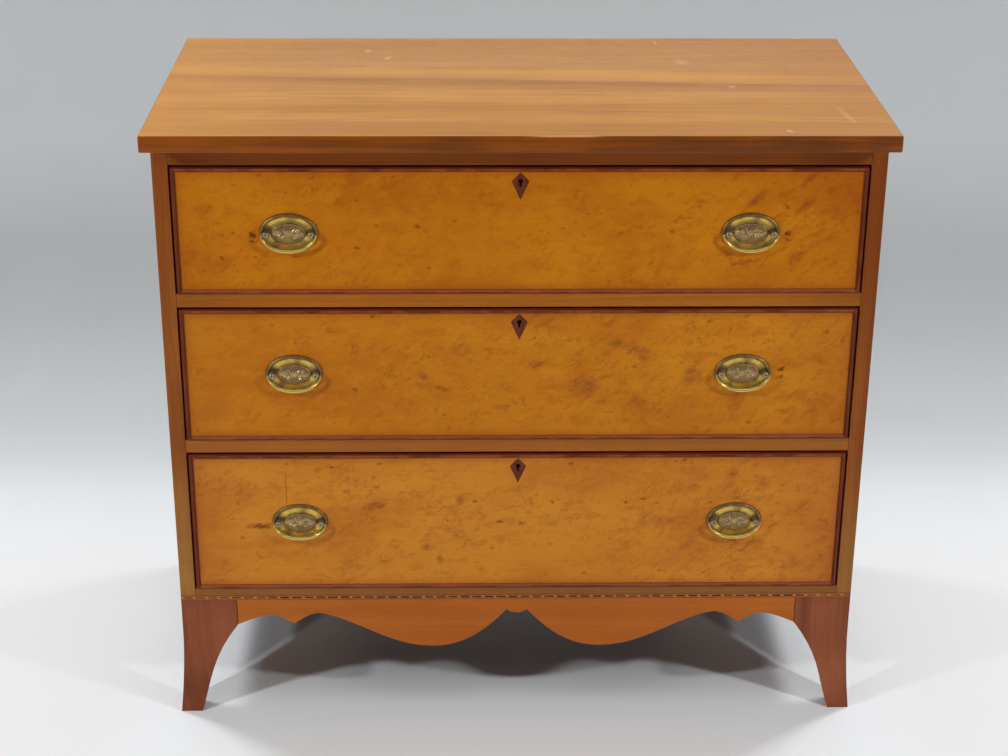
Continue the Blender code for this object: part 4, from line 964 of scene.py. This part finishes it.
# Marks, in millimetres: place (x, z), half sizes, lean in degrees, strength and tone
MARKS = {
    "top_drawer": (
        ((-366.9, 764.9), (7.5, 7.0), 0, 0.70, RUST),
        ((-367.3, 754.7), (7.5, 2.2), 0, 0.60, RUST),
        ((369.7, 766.8), (6.2, 4.5), 0, 0.75, RUST),
        ((370.3, 756.6), (4.5, 2.2), 0, 0.60, RUST),
        ((286.8, 737.6), (15.0, 5.0), -58, 0.35, STAIN),
        ((312.5, 724.3), (24.0, 4.6), 6, 0.45, STAIN),
        ((325.3, 817.6), (19.0, 5.5), 48, 0.45, STAIN),
        ((393.5, 844.8), (19.0, 6.0), 45, 0.45, STAIN),
        ((389.4, 803.1), (24.0, 7.0), 42, 0.50, STAIN),
        ((383.1, 730.1), (21.0, 8.0), 35, 0.40, STAIN),
        ((222.0, 788.0), (22.0, 4.0), 8, 0.35, STAIN),
    ),
    "middle_drawer": (
        ((135.3, 602.8), (13.0, 5.6), 0, 0.65, rgb(148, 90, 30)),
        ((95.8, 534.9), (23.0, 20.0), 20, 0.45, SMOKE),
        ((245.0, 550.0), (20.0, 16.0), 30, 0.50, SMOKE),
        ((372.7, 562.1), (6.2, 4.8), 30, 0.70, RUST),
        ((370.6, 549.7), (7.5, 3.0), 0, 0.60, RUST),
        ((-136.0, 551.1), (7.0, 5.8), -30, 0.55, STAIN),
        ((-109.2, 532.4), (13.0, 4.6), -20, 0.50, STAIN),
        ((-188.7, 534.2), (6.5, 4.0), 0, 0.45, STAIN),
        ((-80.5, 592.6), (17.0, 13.0), 0, 0.40, SMOKE),
        ((25.6, 570.8), (15.0, 7.0), 0, 0.45, STAIN),
        ((171.1, 588.9), (26.0, 13.0), -30, 0.40, SMOKE),
        ((-22.2, 503.9), (12.0, 6.0), 0, 0.45, STAIN),
    ),
    "bottom_drawer": (
        ((-378.7, 313.3), (22.0, 5.5), 0, 0.65, RUST),
        ((-269.1, 409.2), (4.0, 2.6), 0, 0.60, RUST),
        ((-211.2, 345.5), (24.0, 7.0), 12, 0.40, STAIN),
        ((-131.7, 277.1), (12.0, 8.0), 0, 0.45, SMOKE),
        ((-114.1, 255.2), (6.0, 10.0), 20, 0.45, STAIN),
        ((6.6, 316.5), (7.0, 4.0), 0, 0.45, STAIN),
        ((-84.2, 354.8), (8.0, 9.0), -40, 0.40, STAIN),
    ),
}
# Fronts: where along x the figure turns busy, tint of painted light and sheen for the drawer's height, and
# crack (x, lower and upper end, width)
FRONTS = {
    "top_drawer": ((0.15, 0.40), (0.90, 0.875, 0.42), None),
    "middle_drawer": ((-0.05, 0.30), (0.925, 0.955, 1.1), None),
    "bottom_drawer": ((-0.02, 0.36), (0.97, 1.04, 2.7), (-0.3366, 0.345, 0.408, 0.0011)),
}
BRASS_PLATE = brass("aged_brass_plate", rgb(212, 174, 80), rgb(104, 76, 44), 0.22)
BRASS_BAIL = brass("aged_brass_bail", rgb(220, 188, 96), rgb(128, 102, 54), 0.24, film=0.25, relief=0.25)
BRASS_POST = brass("aged_brass_post", rgb(160, 150, 114), rgb(78, 66, 44), 0.28, film=0.18)
NUT_BRASS = metal("nut_brass", rgb(170, 140, 78), rgb(110, 88, 52), 0.42)
LOCK_BRASS = metal("lock_brass_plate", rgb(172, 142, 80), rgb(116, 92, 54), 0.45)
LOCK_STEEL = metal("lock_steel_bolt", rgb(150, 148, 142), rgb(88, 82, 76), 0.42)
KITE = kite_wood("escutcheon_wood")


def dress_front(drawer, seed):
    """Maple front with its cockbead, escutcheon and lock."""
    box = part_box(f"{drawer}_front")
    dress(f"{drawer}_front", maple(f"{drawer}_maple", seed, box, MARKS[drawer], *FRONTS[drawer]))
    soften(f"{drawer}_front")
    cockbead(drawer, bead_wood(f"{drawer}_bead_wood", box[1].x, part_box(f"{drawer}_cockbead")[0].z))
    dress(f"{drawer}_escutcheon", KITE)
    dress(f"{drawer}_lock_case", LOCK_BRASS)
    dress(f"{drawer}_lock_bolt", LOCK_STEEL)


def pull(drawer, hand):
    """Plate, bail, posts and nuts of one pull."""
    low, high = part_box(f"{drawer}_pull_plate_{hand}")
    centre = (low + high) / 2
    pull_plate(drawer, hand, centre, BRASS_PLATE)
    bail(drawer, hand, centre, BRASS_BAIL)
    for number, sign in ((1, -1), (2, 1)):
        place = centre + Vector((sign * POST_OFFSET, 0, 0))
        post(drawer, hand, number, place, BRASS_POST)
        nut(drawer, hand, number, place, NUT_BRASS)


for index, drawer in enumerate(DRAWERS):
    seed = 3.7 * index + 1.1
    dress_front(drawer, seed)
    for number, hand in enumerate(HANDS):
        bare_board(f"{drawer}_side_{hand}", "Y", 20 + seed + number, width=0)
    bare_board(f"{drawer}_back", "X", 24 + seed, width=0)
    bare_board(f"{drawer}_bottom", "X", 28 + seed, width=0)
    for hand in HANDS:
        pull(drawer, hand)

# Studio

FLOOR_WIDTH = 9.0
FLOOR_FRONT = -6.0
SWEEP_START = 0.55
SWEEP_RADIUS = 0.9
SWEEP_STEPS = 24
WALL_TOP = 4.5
# Painted light and shade of the paper along its run, as depth plus one and a half times its height
PAPER_REACH = 2.6
PAPER_PAINTED_SHADING = (
    (0.10, 0.90), (0.25, 0.83), (0.50, 0.70), (0.65, 0.57), (0.80, 0.495), (1.00, 0.445),
    (1.22, 0.383), (1.42, 0.358), (1.56, 0.366), (1.80, 0.438), (2.10, 0.452), (2.50, 0.52),
)
PAPER_FIBRE = (0.7, 0.7, 0.72, 1)
# Painted shadow on the paper under the chest, and inside the feet from a slanting line on
PAPER_SHADOW_TONE = (0.10, 0.095, 0.12, 1)
SHADOW_UNDER = 0.55
SHADOW_BESIDE = 0.62
SHADOW_SLANT = 0.72
# Beside the chest the paper glows to the camera and in mirrors: painted light that flattens its shadows
PAPER_GLOW = (0.795, 0.78, 0.772, 1)
PAPER_GLOW_SHARE = 0.5
# The room round the paper: its colour, how bright it looks and mirrors, and how much light it gives
ROOM_COLOUR = (0.95, 0.97, 1.0, 1)
ROOM_SHOWN = 0.30
ROOM_LIGHT = 0.025


def paper_material():
    """Pale paper with a painted shadow under the chest and a painted glow beside it, clear from behind."""
    look = Look("paper")
    far, y = abs(look.x), look.y
    ramp = look.add("ShaderNodeValToRGB", {0: (y + look.z * 1.5) * (1 / PAPER_REACH)})
    stops = ramp.color_ramp.elements
    while len(stops) < len(PAPER_PAINTED_SHADING):
        stops.new(0.5)
    for stop, (reach, shade) in zip(stops, PAPER_PAINTED_SHADING):
        stop.position = reach / PAPER_REACH
        stop.color = (0.96 * shade, shade, 1.03 * shade, 1)
    fibre = look.noise(look.place, 3, 4, 0.6).step(0.3, 0.7)
    colour = (fibre * 0.05).mix(ramp.outputs[0], PAPER_FIBRE)
    # Painted shadow under the chest
    under = y.step(-0.20, -0.06) * far.step(0.36, 0.18) * y.step(0.32, 0.10)
    colour = (under * SHADOW_UNDER).mix(colour, PAPER_SHADOW_TONE)
    # Painted shadow inside the feet, from a slanting line on
    past_line = (far + y * SHADOW_SLANT).step(0.338, 0.362)
    beside = past_line * far.step(0.45, 0.41) * y.step(0.30, 0.12)
    colour = (beside * SHADOW_BESIDE).mix(colour, PAPER_SHADOW_TONE)
    look.feed(look.shader.inputs["Base Color"], colour)
    look.feed(look.shader.inputs["Roughness"], 0.75)
    rays = look.add("ShaderNodeLightPath", {}).outputs
    seen = Value(look, rays["Is Camera Ray"]) + rays["Is Glossy Ray"] + rays["Is Transmission Ray"]
    # Painted light: a glow beside the chest for camera and mirror rays
    aside = far.step(0.49, 0.66) * y.step(0.55, 0.15)
    share = aside * seen.least(1.0) * PAPER_GLOW_SHARE
    glow = look.add("ShaderNodeEmission", {"Color": PAPER_GLOW})
    mixed = look.add("ShaderNodeMixShader", {0: share, 1: look.shader.outputs[0], 2: glow.outputs[0]})
    behind = look.add("ShaderNodeNewGeometry", {}).outputs["Backfacing"]
    clear = look.add("ShaderNodeBsdfTransparent", {})
    sided = look.add("ShaderNodeMixShader", {0: behind, 1: mixed.outputs[0], 2: clear.outputs[0]})
    look.feed(look.tree.nodes["Material Output"].inputs["Surface"], sided.outputs[0])
    look.material.cycles.emission_sampling = "NONE"
    return look.material


def backdrop():
    """Paper sweep: pale floor that curves up into a wall behind the chest."""
    section = [(FLOOR_FRONT, 0.0)]
    for i in range(SWEEP_STEPS + 1):
        angle = 0.5 * math.pi * i / SWEEP_STEPS
        section.append((SWEEP_START + SWEEP_RADIUS * math.sin(angle), SWEEP_RADIUS * (1 - math.cos(angle))))
    section.append((SWEEP_START + SWEEP_RADIUS, WALL_TOP))
    points = [(side * FLOOR_WIDTH / 2, y, z) for y, z in section for side in (-1, 1)]
    faces = [(2 * i, 2 * i + 1, 2 * i + 3, 2 * i + 2) for i in range(len(section) - 1)]
    paper = mesh_object("backdrop", points, faces, paper_material())
    for polygon in paper.data.polygons:
        if polygon.normal.z < polygon.normal.y:
            polygon.flip()


def area_light(name, place, target, size, watts):
    """Soft rectangular lamp that points at a target."""
    data = bpy.data.lights.new(name, "AREA")
    data.shape = "RECTANGLE"
    data.size, data.size_y = size
    data.energy = watts
    lamp = bpy.data.objects.new(name, data)
    bpy.context.scene.collection.objects.link(lamp)
    lamp.location = place
    lamp.rotation_euler = (Vector(target) - Vector(place)).to_track_quat("-Z", "Y").to_euler()


def room():
    """World that is brighter to look at and in mirrors than as a light."""
    world = bpy.data.worlds.new("studio")
    bpy.context.scene.world = world
    world.use_nodes = True
    nodes, links = world.node_tree.nodes, world.node_tree.links
    sky = nodes["Background"]
    sky.inputs["Color"].default_value = ROOM_COLOUR
    rays = nodes.new("ShaderNodeLightPath").outputs
    shown = rays["Is Camera Ray"]
    for ray in ("Is Glossy Ray", "Is Transmission Ray"):
        either = nodes.new("ShaderNodeMath")
        either.operation = "MAXIMUM"
        links.new(shown, either.inputs[0])
        links.new(rays[ray], either.inputs[1])
        shown = either.outputs[0]
    strength = nodes.new("ShaderNodeMath")
    strength.operation = "MULTIPLY_ADD"
    links.new(shown, strength.inputs[0])
    strength.inputs[1].default_value = ROOM_SHOWN - ROOM_LIGHT
    strength.inputs[2].default_value = ROOM_LIGHT
    links.new(strength.outputs[0], sky.inputs["Strength"])


def photo_camera():
    """Camera at the photo's place, turned by roll, then pitch from looking straight down, then yaw."""
    data = bpy.data.cameras.new("camera")
    data.sensor_width = SENSOR_WIDTH
    data.lens = FOCAL_PIXELS / IMAGE_WIDTH * SENSOR_WIDTH
    camera = bpy.data.objects.new("camera", data)
    bpy.context.scene.collection.objects.link(camera)
    roll = Matrix.Rotation(CAMERA_ROLL, 4, "Z")
    pitch = Matrix.Rotation(math.pi / 2 - CAMERA_PITCH, 4, "X")
    yaw = Matrix.Rotation(-CAMERA_YAW, 4, "Z")
    camera.matrix_world = Matrix.Translation(CAMERA_PLACE) @ yaw @ pitch @ roll
    bpy.context.scene.camera = camera


backdrop()
area_light("front_left", (-2.1, -1.5, 1.8), (0, -0.2, 0.4), (0.16, 0.16), 26)
area_light("front_right", (2.1, -1.5, 1.8), (0, -0.2, 0.4), (0.16, 0.16), 25)
area_light("back_left", (-2.0, 1.2, 2.8), (-0.3, -0.2, 0.4), (0.6, 0.6), 44)
area_light("back_right", (2.0, 1.2, 2.8), (0.3, -0.2, 0.4), (0.6, 0.6), 44)
area_light("ceiling", (0, -0.4, 4.0), (0, -0.2, 0), (3.5, 3.0), 52)
room()
photo_camera()
bpy.context.scene.view_settings.view_transform = "Standard"
